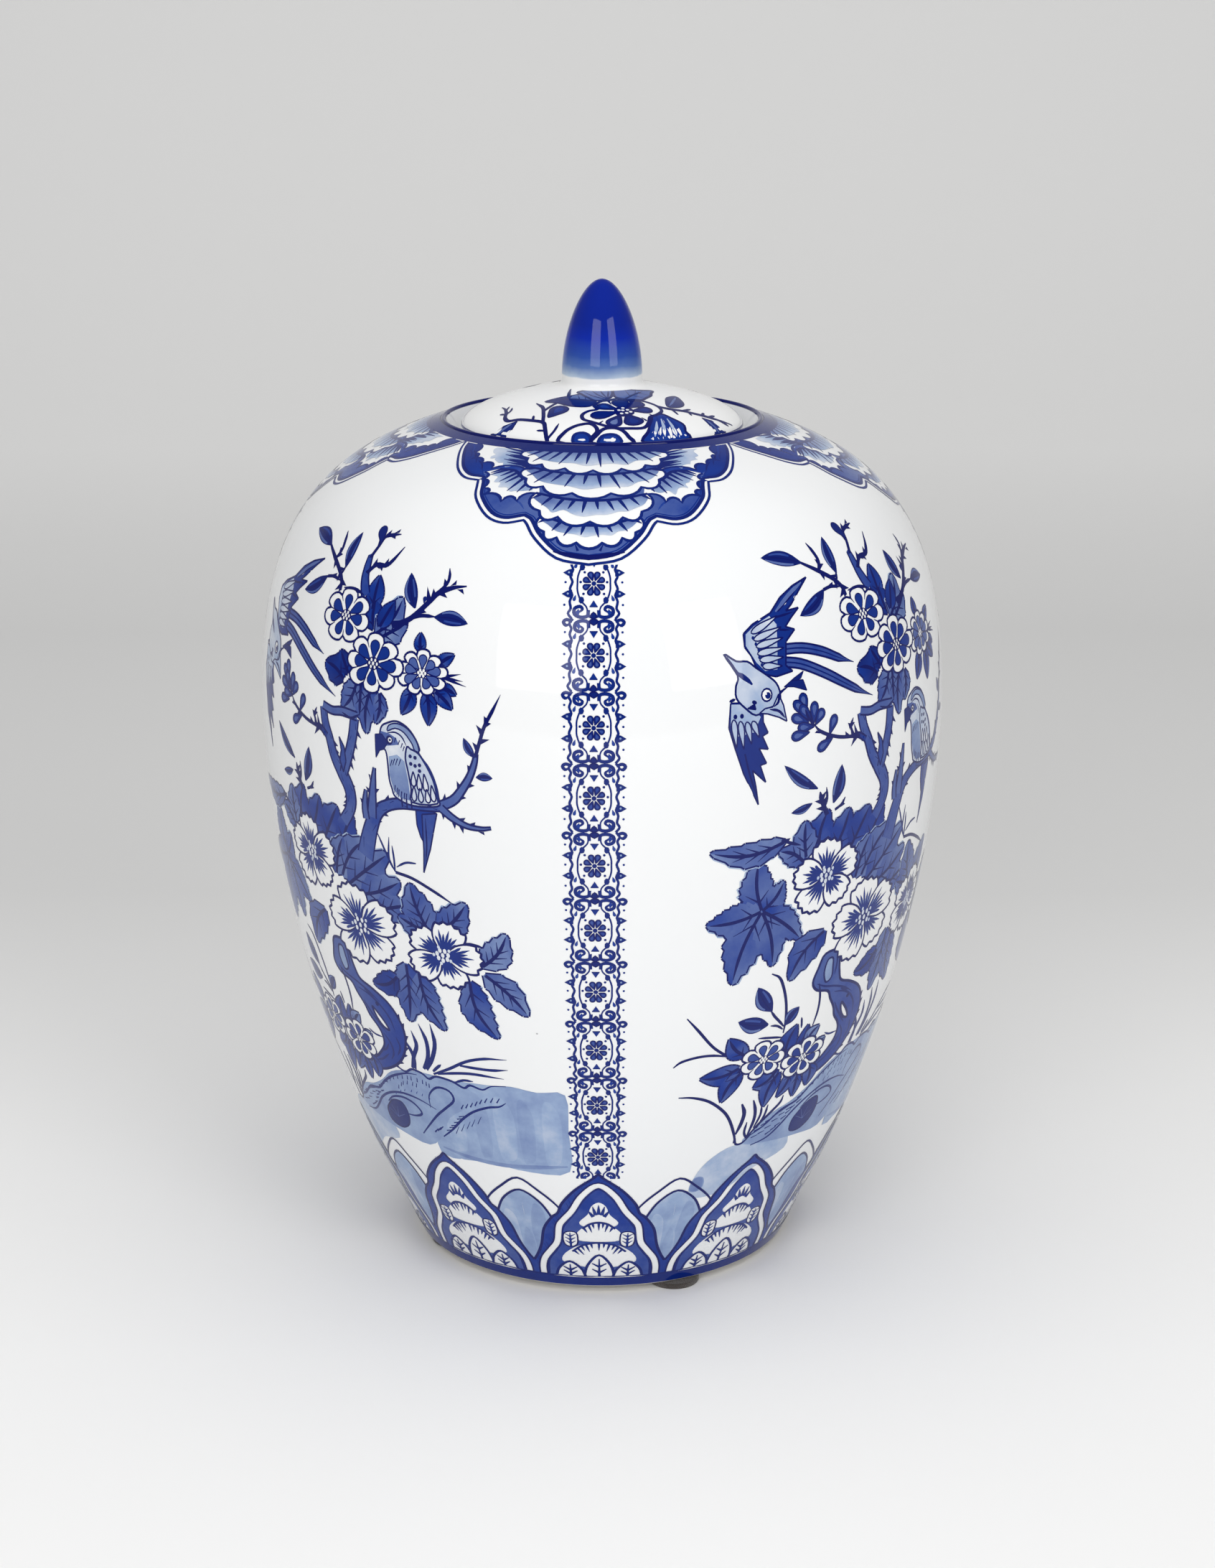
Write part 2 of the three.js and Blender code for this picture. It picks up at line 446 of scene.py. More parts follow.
def turned(name, outline, segments):
    """Spins a closed outline about +Z and joins its seam and poles."""
    deselect()
    mesh = bpy.data.meshes.new(name)
    points = [(r, 0, z) for r, z in outline]
    mesh.from_pydata(points, [(i, i + 1) for i in range(len(points) - 1)], [])
    made = new_object(name, mesh)
    made.select_set(True)
    bpy.context.view_layer.objects.active = made
    bpy.ops.object.mode_set(mode="EDIT")
    bpy.ops.mesh.select_all(action="SELECT")
    bpy.ops.mesh.spin(steps=segments, angle=2 * math.pi, center=(0, 0, 0), axis=(0, 0, 1))
    bpy.ops.mesh.select_all(action="SELECT")
    bpy.ops.mesh.remove_doubles(threshold=0.01 * MM)
    bpy.ops.mesh.dissolve_degenerate(threshold=0.001 * MM)
    bpy.ops.mesh.select_all(action="SELECT")
    bpy.ops.mesh.normals_make_consistent(inside=False)
    bpy.ops.object.mode_set(mode="OBJECT")
    bpy.ops.object.shade_smooth_by_angle(angle=math.radians(28))
    return made


def rounded(start, corner, end, steps=5):
    """A rounded corner as a short curve."""
    return bezier(start, (start + 2 * corner) / 3, (end + 2 * corner) / 3, end, steps)


def eased(corner, start, end, steps=5):
    """A rounded corner that starts and ends at offsets from its sharp point."""
    corner = np.array(corner)
    return rounded(corner + start, corner, corner + end, steps)


EASE = 0.8 * MM  # small rounding of an edge
LIP_INSIDE = 3 * MM  # how far the lip's inner side leans in above the ledge
LEDGE_THICKNESS = 7 * MM
UNDER_LEDGE = 6 * MM  # the hollow starts this far outside the throat
UNDER_GAP = 2 * MM
FLOOR_HEIGHT = 13 * MM
FLOOR_CURVE_RISE = 6 * MM
FLOOR_CURVE_RUN = 8 * MM
FOOT_RING_WIDTH = 7 * MM
RECESS_HEIGHT = 5 * MM
RECESS_CURVE = 2 * MM


def throat_radius(sizes):
    return sizes.rim_radius - 2 * sizes.lip_round - LIP_INSIDE - sizes.ledge_width


def jar_outline(sizes):
    """The body's closed section, from the recess under the foot over the lip to the floor."""
    outer = jar_side(sizes).outline.copy()
    foot = JAR_LOW.z
    centre = np.array([sizes.rim_radius - sizes.lip_round, JAR_HIGH.z - sizes.lip_round])
    turns = np.linspace(0, math.pi, 9)[1:]
    lip = centre + sizes.lip_round * np.stack([np.cos(turns), np.sin(turns)], axis=1)
    ledge = JAR_HIGH.z - sizes.ledge_depth
    mouth = sizes.rim_radius - 2 * sizes.lip_round - LIP_INSIDE
    throat = throat_radius(sizes)
    under = ledge - LEDGE_THICKNESS
    floor = foot + FLOOR_HEIGHT
    hollow = inner_side(outer, sizes.wall)
    below_ledge = (hollow[:, 0] > throat + UNDER_LEDGE) & (hollow[:, 1] < under - UNDER_GAP)
    hollow = hollow[below_ledge & (hollow[:, 1] > floor + FLOOR_CURVE_RISE)][::-1]
    recess = sizes.foot_radius - FOOT_RING_WIDTH
    recess_top = foot + RECESS_HEIGHT
    flare = np.array([FOOT_FLARE, 1])
    wall_foot = hollow[-1] - flare * (hollow[-1][1] - floor)
    return np.vstack([
        [(0, recess_top), (recess - 2 * RECESS_CURVE, recess_top)],
        eased((recess, recess_top), (-RECESS_CURVE, 0), (0, -RECESS_CURVE)),
        eased((recess, foot), (0, FOOT_CHAMFER), (FOOT_CHAMFER, 0)),
        eased((sizes.foot_radius, foot), (-FOOT_CHAMFER, 0), flare * FOOT_CHAMFER),
        outer[outer[:, 1] > foot + FOOT_CHAMFER],
        lip,
        eased((mouth, ledge), (0.5 * MM, 1 * MM), (-1 * MM, 0)),
        eased((throat, ledge), (EASE, 0), (0, -EASE)),
        eased((throat, under), (0, EASE), (EASE, 0)),
        hollow,
        eased(wall_foot, flare * FLOOR_CURVE_RISE, (-FLOOR_CURVE_RUN, 0), 8),
        [(0, floor)],
    ])


FLANGE_GAP = 0.9 * MM  # between the throat and the lid's flange
FLANGE_STEP = 0.1 * MM
COLLAR_FILLET = 1.6 * MM
FINIAL_WALL = 5.5 * MM
FINIAL_CROWN = 11 * MM  # solid porcelain above the finial's bore
BORE_MARGIN = 2 * MM
FLANGE_MARGIN = 1.5 * MM


def lid_outline(sizes):
    """The lid's closed section, from the flange over the dome and the finial to the hollow."""
    dome = lid_dome(sizes).outline
    edge, crown = dome[0], dome[-1]
    seat = edge[1] - sizes.edge_height
    flange = throat_radius(bpy.context.scene.jar_sizes) - FLANGE_GAP
    flange_foot = seat - FLANGE_DEPTH
    inside = flange - FLANGE_WALL
    collar = np.array([sizes.finial_radius, crown[1] + FINIAL_COLLAR])
    tip = np.array([0, collar[1] + sizes.finial_height])
    finial = bezier(collar, collar + (0, FINIAL_SIDE_CURVE), tip + (FINIAL_TIP_CURVE, 0), tip, 40)
    on_dome = dome[dome[:, 0] > sizes.finial_radius + COLLAR_FILLET]
    bore = sizes.finial_radius - FINIAL_WALL
    bore_top = tip[1] - FINIAL_CROWN
    turns = np.linspace(math.pi / 2, 0, 9)
    hollow = np.stack([bore * np.cos(turns), bore_top - bore + bore * np.sin(turns)], axis=1)
    cavity = inner_side(dome, LID_WALL)
    cavity = cavity[(cavity[:, 0] > bore + BORE_MARGIN) & (cavity[:, 0] < inside - FLANGE_MARGIN)][::-1]
    corner = np.array([inside, cavity[-1][1] - 1 * MM])
    return np.vstack([
        [(inside, flange_foot + 1 * MM)],
        eased((inside, flange_foot), (0, EASE), (EASE, 0))[1:],
        eased((flange, flange_foot), (-EASE, 0), (0, EASE)),
        [(flange, seat - FLANGE_STEP), (flange + FLANGE_STEP, seat)],
        rounded(edge - (2.4 * MM, sizes.edge_height), edge - (0.4 * MM, sizes.edge_height), edge, 8)[:-1],
        on_dome,
        rounded(on_dome[-1], np.array([sizes.finial_radius, crown[1]]), collar - (0, 0.4 * MM), 7)[1:],
        finial,
        hollow,
        eased((bore, cavity[0][1]), (0, 1 * MM), (1 * MM, 0)),
        cavity,
        rounded(cavity[-1], corner, corner - (0, 1.5 * MM))[1:],
        [(inside, flange_foot + 1 * MM)],
    ])


# ---------- brushwork; places are (degrees from the front, millimetres up the side) ----------

LINE = 1.0
DARK = 0.84
FILL = 0.64
SOFT = 0.46
WASH = 0.24
BARE = None
FLAT_DEGREE = 1.745  # width of a degree on the flat sheet that the shapes are cut from
GRID = 2.6
TINY = 0.002


def smooth(points, steps=5, closed=False):
    """A Catmull-Rom curve through the points."""
    p = np.array(points, float)
    if len(p) < 3 and not closed:
        t = np.linspace(0, 1, steps + 1)[:, None]
        return p[0] * (1 - t) + p[-1] * t
    if closed:
        p = np.vstack([p[-1], p, p[:2]])
    else:
        p = np.vstack([2 * p[0] - p[1], p, 2 * p[-1] - p[-2]])
    t = np.linspace(0, 1, steps, endpoint=False)[:, None]
    parts = []
    for a, b, c, d in zip(p[:-3], p[1:-2], p[2:-1], p[3:]):
        parts.append(0.5 * (2 * b + (c - a) * t + (2 * a - 5 * b + 4 * c - d) * t ** 2
                            + (3 * b - a - 3 * c + d) * t ** 3))
    curve = np.vstack(parts)
    return curve if closed else np.vstack([curve, p[-2]])


def signed_area(flat):
    """Area inside a flat outline, positive if it runs anticlockwise."""
    x, y = flat[:, 0], flat[:, 1]
    return 0.5 * np.sum(x * np.roll(y, -1) - np.roll(x, -1) * y)


def polar(degrees, far_x, far_y=None):
    """A point on an ellipse about the local origin."""
    turn = math.radians(degrees)
    return (far_x * math.cos(turn), (far_x if far_y is None else far_y) * math.sin(turn))


class Brush:
    """Painted shapes on one side of the ware."""

    def __init__(self, side, weight=1.0):
        self.side = side
        self.weight = weight
        self.shapes = []

    def local(self, centre, turn=0):
        """A frame in millimetres about a centre, turned anticlockwise."""
        wide = self.side.degree(centre[1])
        cosine, sine = math.cos(math.radians(turn)), math.sin(math.radians(turn))

        def lay(points):
            p = np.array(points, float).reshape(-1, 2)
            x = p[:, 0] * cosine - p[:, 1] * sine
            y = p[:, 0] * sine + p[:, 1] * cosine
            return np.stack([centre[0] + x / wide, centre[1] + y], axis=1)

        return lay

    def axis(self, base, tip):
        """Length from base to tip, and a frame with x along it and y to its left."""
        wide = self.side.degree((base[1] + tip[1]) / 2)
        run = np.array([(tip[0] - base[0]) * wide, tip[1] - base[1]])
        size = float(np.linalg.norm(run))
        along = run / size
        across = np.array([-along[1], along[0]])

        def lay(points):
            p = np.array(points, float).reshape(-1, 2)
            return (p[:, :1] * along + p[:, 1:] * across) / (wide, 1) + np.array(base, float)

        return size, lay

    def fill(self, outline, tone, fade=None):
        """A filled shape; fade is (from, to, tone there) for a tone that changes across it."""
        self.shapes.append((np.array(outline, float), tone, fade))

    def line(self, points, width, tone=LINE, ends=(0.3, 0.3), steps=4, closed=False):
        """A curved brush line, narrowed to shares of its width at its ends.

        The width is one number, or one for each point.
        """
        path = smooth(points, steps, closed)
        stations = np.linspace(0, 1, len(path))
        if np.ndim(width):
            width = np.interp(stations, np.linspace(0, 1, len(width)), width)
        wide = self.side.degree(path[:, 1])
        if closed:
            path, wide = np.vstack([path, path[:1]]), np.append(wide, wide[0])
            stations = np.linspace(0, 1, len(path))
        flat = path * np.stack([wide, np.ones(len(path))], axis=1)
        tangent = np.gradient(flat, axis=0)
        if closed:
            tangent[0] = tangent[-1] = flat[1] - flat[-2]
        tangent /= np.maximum(np.linalg.norm(tangent, axis=1), 1e-9)[:, None]
        share = np.ones(len(path))
        if not closed:
            share = np.minimum(share, ends[0] + stations * 4 * (1 - ends[0]))
            share = np.minimum(share, ends[1] + (1 - stations) * 4 * (1 - ends[1]))
        half = (0.5 * self.weight * width * share)[:, None]
        across = np.stack([-tangent[:, 1] / wide, tangent[:, 0]], axis=1) * half
        left, right = path + across, path - across
        for i in range(len(path) - 1):
            self.quad(right[i], right[i + 1], left[i + 1], left[i], tone)

    def lines(self, paths, *look, **more):
        """Several brush lines that look alike."""
        for points in paths:
            self.line(points, *look, **more)

    def quad(self, a, b, c, d, tone):
        """Four corners as one shape, or as two triangles where it would fold over."""
        flat = np.array([a, b, c, d]) * (FLAT_DEGREE, 1)
        step = np.roll(flat, -1, axis=0) - flat
        turn = step[:, 0] * np.roll(step[:, 1], -1) - step[:, 1] * np.roll(step[:, 0], -1)
        if np.all(turn > TINY) or np.all(turn < -TINY):
            self.fill([a, b, c, d], tone)
            return
        self.fill([a, b, c], tone)
        self.fill([a, c, d], tone)

    def outlined(self, outline, tone, width=0.5, fade=None, steps=4, edge=LINE):
        """A curved shape with a line round it."""
        self.fill(smooth(outline, steps, closed=True), tone, fade)
        self.line(outline, width, edge, steps=steps, closed=True)

    def facet(self, outline, tone, width=0.5, fade=None, edge=LINE):
        """A straight-sided shape with a line along each side."""
        self.fill(outline, tone, fade)
        self.lines(zip(outline, list(outline[1:]) + [outline[0]]), width, edge, (0.8, 0.8), 1)

    def dot(self, centre, radius, tone=LINE, tall=1.0, sides=8):
        """A round spot, stretched upwards if tall is above 1."""
        lay = self.local(centre)
        self.fill(lay([polar(360 * k / sides, radius, radius * tall) for k in range(sides)]), tone)

    def dots(self, centres, *look):
        for centre in centres:
            self.dot(centre, *look)


def cut_sheet(brush):
    """Cuts the shapes into one flat sheet in which the last one painted shows.

    Returns the flat points, the triangles and the tones at each triangle's corners.
    """
    scale = np.array([FLAT_DEGREE, 1.0])
    points, faces, shapes = [], [], []
    for shape in brush.shapes:
        flat = shape[0] * scale
        area = signed_area(flat)
        if abs(area) < TINY:
            continue
        order = list(range(len(points), len(points) + len(flat)))
        points.extend(flat.tolist())
        faces.append(order if area > 0 else order[::-1])
        shapes.append(shape)
    low, high = np.min(points, axis=0), np.max(points, axis=0)
    for k, y in enumerate(np.arange(low[1] + GRID / 2, high[1], GRID * 0.87)):
        points.extend((x + (k % 2) * GRID / 2, y) for x in np.arange(low[0] + GRID / 2, high[0], GRID))
    made = delaunay_2d_cdt([Vector(p) for p in points], [], faces, 1, 1e-5, True)
    flat = np.array([tuple(p) for p in made[0]]) / scale
    kept, tones = [], []
    for triangle, owners in zip(made[2], made[5]):
        if not owners:
            continue
        shape = shapes[max(owners)]
        if shape[1] is not BARE:
            kept.append(triangle)
            tones.append([faded(brush, flat[corner], *shape[1:]) for corner in triangle])
    return flat, np.array(kept), np.array(tones)


def faded(brush, at, tone, fade):
    """The tone at a point of a shape that fades from one place to another."""
    if fade is None:
        return tone
    start, end, far_tone = fade
    scale = (brush.side.degree(at[1]), 1)
    run = (np.array(end) - start) * scale
    share = np.dot((at - start) * scale, run) / max(np.dot(run, run), 1e-9)
    return tone + (far_tone - tone) * min(max(share, 0), 1)


def lay_sheet(name, brush, sheet, turn, squeeze, material, body, slot, lift=1.0):
    """Wraps a cut sheet round its side, turned by some degrees, as a thin painted film."""
    flat, triangles, tones = sheet
    used, index = np.unique(triangles, return_inverse=True)
    index = index.reshape(-1, 3)
    at = flat[used]
    film = bpy.context.scene.paint_settings.film * lift
    point, normal = brush.side.place(at[:, 0] * squeeze + turn, at[:, 1], film)
    mesh = bpy.data.meshes.new(name)
    mesh.from_pydata(point.tolist(), [], index.tolist())
    attribute = mesh.attributes.new("tone", "FLOAT", "CORNER")
    attribute.data.foreach_set("value", tones.reshape(-1).astype(np.float32))
    low, high = at.min(0), at.max(0)
    unit = 0.01 + 0.98 * (at - low) / (high - low)
    layer = mesh.uv_layers.new(name="OFBake")
    layer.data.foreach_set("uv", unit[index.reshape(-1)].astype(np.float32).reshape(-1))
    mesh.polygons.foreach_set("use_smooth", np.ones(len(mesh.polygons), bool))
    mesh.normals_split_custom_set_from_vertices(normal.tolist())
    mesh.materials.append(material)
    made = new_object(name, mesh)
    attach(made, body)
    return made


# ---------- leaves, buds, blossoms and twigs ----------


def leaf_sides(size, width, bend, teeth, belly):
    """Left and right edges of a leaf that lies along x."""
    if teeth:
        ends = np.linspace(0, 1, teeth + 1)
        t = np.stack([ends[:-1], ends[1:] - 0.25 / teeth], axis=1).reshape(-1)
        saw = np.tile([-0.06, 0.10], teeth)
    else:
        t = np.linspace(0, 1, 11)[:-1]
        saw = np.zeros(len(t))
    t, saw = np.append(t, 1), np.append(saw, 0)
    half = 0.5 * width * (np.sin(math.pi * t ** belly).clip(0) ** 0.85 + saw * (t > 0.05))
    half[0] = 0.06 * width
    half[-1] = 0
    spine = bend * size * np.sin(math.pi * t)
    return np.stack([t * size, spine + half], axis=1), np.stack([t * size, spine - half], axis=1)


def leaves(brush, specs, tone=FILL, edge=0.5, ribs=2, teeth=0, belly=0.8, spill=0.0):
    """Leaves as (base, tip, width, bend); where they overlap they grow together."""
    frames = []
    for base, tip, width, bend in specs:
        size, lay = brush.axis(base, tip)
        frames.append((size, lay, width, bend, *leaf_sides(size, width, bend, teeth, belly)))
    if spill:
        for size, lay, width, bend, left, right in frames:
            brush.fill(lay(np.vstack([right, left[-2::-1]]) + (0.2, spill)), WASH)
    for size, lay, width, bend, left, right in frames:
        for border in (left, right):
            brush.lines([lay(pair) for pair in zip(border[:-1], border[1:])], 2.4 * edge, LINE, (0.9, 0.9), 1)
    for size, lay, width, bend, left, right in frames:
        spine = (left + right) / 2
        tip = tuple(lay(spine[-1:])[0])
        base = tuple(lay(spine[:1])[0])
        brush.fill(lay(np.vstack([spine, left[-2::-1]])), tone * 0.96, (base, tip, tone * 0.68))
        brush.fill(lay(np.vstack([right, spine[-2::-1]])), tone * 0.7, (base, tip, tone * 0.92))
    for size, lay, width, bend, left, right in frames:
        t = np.linspace(0.02, 0.94, 6)
        brush.line(lay(np.stack([t * size, bend * size * np.sin(math.pi * t)], axis=1)), 1.1, LINE, (1, 0.2),
            2)
        for k in range(ribs):
            share = 0.18 + 0.5 * k / max(ribs, 1)
            root = bend * size * math.sin(math.pi * share)
            far = share + 0.2
            reach = 0.36 * width * math.sin(math.pi * far ** belly)
            for way in (1, -1):
                end = (far * size, bend * size * math.sin(math.pi * far) + way * reach)
                brush.line(lay([(share * size, root), end]), 0.75, LINE, (0.9, 0.2), 1)


def slender(brush, base, tip, width, bend=0.06):
    """A dark narrow leaf with a paler margin on one side."""
    size, lay = brush.axis(base, tip)
    left, right = leaf_sides(size, width, bend, 0, 0.95)
    spine = left * 0.5 + right * 0.5
    brush.fill(lay(np.vstack([right, left[-2::-1]])), DARK + 0.06)
    inner = (left * 0.78 + right * 0.22)[2:-1]
    outer = (left * 0.93 + right * 0.07)[2:-1]
    brush.fill(lay(np.vstack([inner, outer[::-1]])), SOFT)
    low = (left * 0.16 + right * 0.84)[3:-2]
    lower = (left * 0.3 + right * 0.7)[3:-2]
    brush.fill(lay(np.vstack([low, lower[::-1]])), SOFT + 0.12)
    brush.line(lay(spine[1:-1]), 0.4, LINE, (0.9, 0.2), 1)


def drop(brush, base, tip, width, tone=DARK, edge=0.0, heart=None):
    """A teardrop, narrow at its base and round at its tip."""
    size, lay = brush.axis(base, tip)
    shape = [(0, 0.06), (0.3, 0.3), (0.62, 0.5), (0.88, 0.4), (1, 0), (0.88, -0.4), (0.62, -0.5), (0.3, -0.3),
             (0, -0.06)]
    outline = lay([(x * size, y * width) for x, y in shape])
    if edge:
        brush.outlined(outline, tone, edge, steps=2)
    else:
        brush.fill(smooth(outline, 2, closed=True), tone)
    if heart is not None:
        inner = lay([(0.35 * size + x * size * 0.5, y * width * 0.5) for x, y in shape])
        brush.fill(inner, heart)


def thorns(brush, points, width, places, tone=LINE):
    """Thorns on a line: (share along it, side, length), leaning forward."""
    path = smooth(points, 6)
    for share, way, size in places:
        k = min(int(share * (len(path) - 1)), len(path) - 2)
        _, lay = brush.axis(path[k], path[k + 1])
        root = 0.42 * width * way
        brush.fill(lay([(-0.9, root), (0.9, root), (0.7 + 0.35 * size, root + way * size)]), tone)


def twig(brush, points, width, places=(), ends=(1.0, 0.25)):
    """A thin dark twig with thorns at the given places."""
    brush.line(points, width, LINE, ends)
    thorns(brush, points, width, places)


def limb(brush, points, widths, tone=0.56, places=(), grain=True):
    """Bark between two dark edges, with grain lines along it."""
    widths = np.array(widths, float)
    thorns(brush, points, float(widths.mean()) + 0.8, places)
    brush.line(points, widths + 0.9, LINE, (0.9, 0.9))
    brush.line(points, widths - 0.35, tone, (0.95, 0.95))
    if grain:
        path = smooth(points, 4)
        for k in range(1, len(path) - 2, 3):
            _, lay = brush.axis(path[k], path[min(k + 2, len(path) - 1)])
            size = float(np.interp(k / len(path), np.linspace(0, 1, len(widths)), widths))
            way = 1 if k % 2 else -1
            brush.line(lay([(0, 0.18 * size * way), (size * 0.55, 0.3 * size * way)]), 0.4, DARK, (0.3, 0.8),
                1)


def plum(brush, centre, far_x, far_y, petals=7, turn=90, tone=FILL + 0.04):
    """A blossom of white scallops, each round a blue petal, with a stippled heart."""
    lay = brush.local(centre)
    rim = []
    for k in range(petals):
        for step in np.linspace(-0.5, 0.5, 8)[:-1]:
            reach = 0.78 + 0.22 * math.sqrt(max(math.cos(math.pi * step), 0)) - 0.03 * (k % 3)
            rim.append(polar(turn + (k + step) * 360 / petals, far_x * reach, far_y * reach))
    rim = lay(rim)
    brush.fill(rim, BARE)
    brush.lines(zip(rim, np.roll(rim, -1, axis=0)), 0.75, LINE, (0.9, 0.9), 1)
    for k in range(petals):
        angle = turn + k * 360 / petals
        notch = [polar(angle + 180 / petals, far_x * r, far_y * r) for r in (0.8, 0.52)]
        brush.line(lay(notch), 0.6, LINE, (1, 0.3), 1)
        reach = 0.76 - 0.05 * (k % 3)
        ends = lay([polar(angle + 4 * (k % 2), far_x * r, far_y * r) for r in (0.2, reach)])
        drop(brush, ends[0], ends[1], 0.34 * (far_x + far_y) / 2, tone, 0.35)
    brush.dot(centre, 0.22 * far_x, LINE, far_y / far_x, 10)
    brush.dots(lay([polar(60 * k, 0.13 * far_x, 0.13 * far_y) for k in range(6)]), 0.42, BARE, 1.3, 6)
    brush.dot(centre, 0.5, BARE, 1.3, 6)


def hibiscus(brush, centre, far_x, far_y, turn=90, order=(0, 2, 4, 1, 3)):
    """A wide blossom of five notched white petals with bold veins fanning from the heart."""
    lay = brush.local(centre)
    waves = (0.46, 0.7, 0.86, 0.96, 0.91, 1.0, 0.95, 1.04, 0.97, 1.01, 0.92, 0.96, 0.84, 0.68, 0.46)
    for k in order:
        angle = turn + 72 * k
        size = (1.0, 0.95, 1.04, 0.97, 1.02)[k]
        spread = np.linspace(-43, 43, len(waves))
        edge = [polar(angle + off, far_x * wave * size, far_y * wave * size) for off,
            wave in zip(spread, waves)]
        hub = [polar(angle + off, far_x * 0.18, far_y * 0.18) for off in (40, -40)]
        tip = tuple(lay(polar(angle, far_x, far_y))[0])
        brush.fill(lay(list(smooth(edge, 2)) + hub), BARE)
        wash = [polar(angle + off, far_x * r, far_y * r) for off, r in
                ((-34, 0.2), (-30, 0.4), (-16, 0.52), (0, 0.46), (14, 0.54), (30, 0.4), (34, 0.2))]
        brush.fill(lay(wash), SOFT - 0.1, (tuple(centre), tip, 0.06))
        brush.line(lay([hub[1]] + edge + [hub[0]]), 0.85, LINE, (0.5, 0.5), 2)
        for off, reach in zip((-31, -21, -11, -1, 9, 19, 30), (0.56, 0.7, 0.64, 0.8, 0.66, 0.76, 0.58)):
            reach = (reach - 0.04 * (k % 2)) * size
            vein = [polar(angle + off * (0.7 + 0.3 * r / reach) + 2, far_x * r, far_y * r)
                    for r in (0.16, 0.42, reach)]
            brush.line(lay(vein), 0.85, 0.74, (1, 0.12), 2)
    brush.dot(centre, 0.2 * far_x, DARK, far_y / far_x, 12)
    stamens = [polar(360 * k / 7 + 12, 0.15 * far_x, 0.15 * far_y) for k in range(7)]
    brush.dots(lay(stamens), 0.62, 0.08, 1.35, 8)
    brush.dot(centre, 0.6, 0.08, 1.4, 8)
    pollen = [polar(72 * k + 40, 0.24 * far_x, 0.25 * far_y) for k in range(5)]
    brush.dots(lay(pollen), 0.5, 0.12, 1.2, 7)


def blades(brush, specs, width=0.8):
    """Grass: each blade is a curve through its points."""
    for points in specs:
        brush.line(points, width, DARK, (0.7, 0.12))


def dashes(brush, points, count, size, lean, width=0.8, tone=DARK):
    """Short strokes spaced along a line, each turned by its lean from the line."""
    path = smooth(points, 8)
    for k in range(count):
        at = path[int((k + 0.5) / count * (len(path) - 1))]
        turn = math.radians(lean)
        lay = brush.local(at)
        brush.line(lay([(0, 0), (size * math.cos(turn), size * math.sin(turn))]), width, tone, (0.5, 0.3), 1)


# ---------- the painted scene: four alike, each as seen to the right of the front ----------


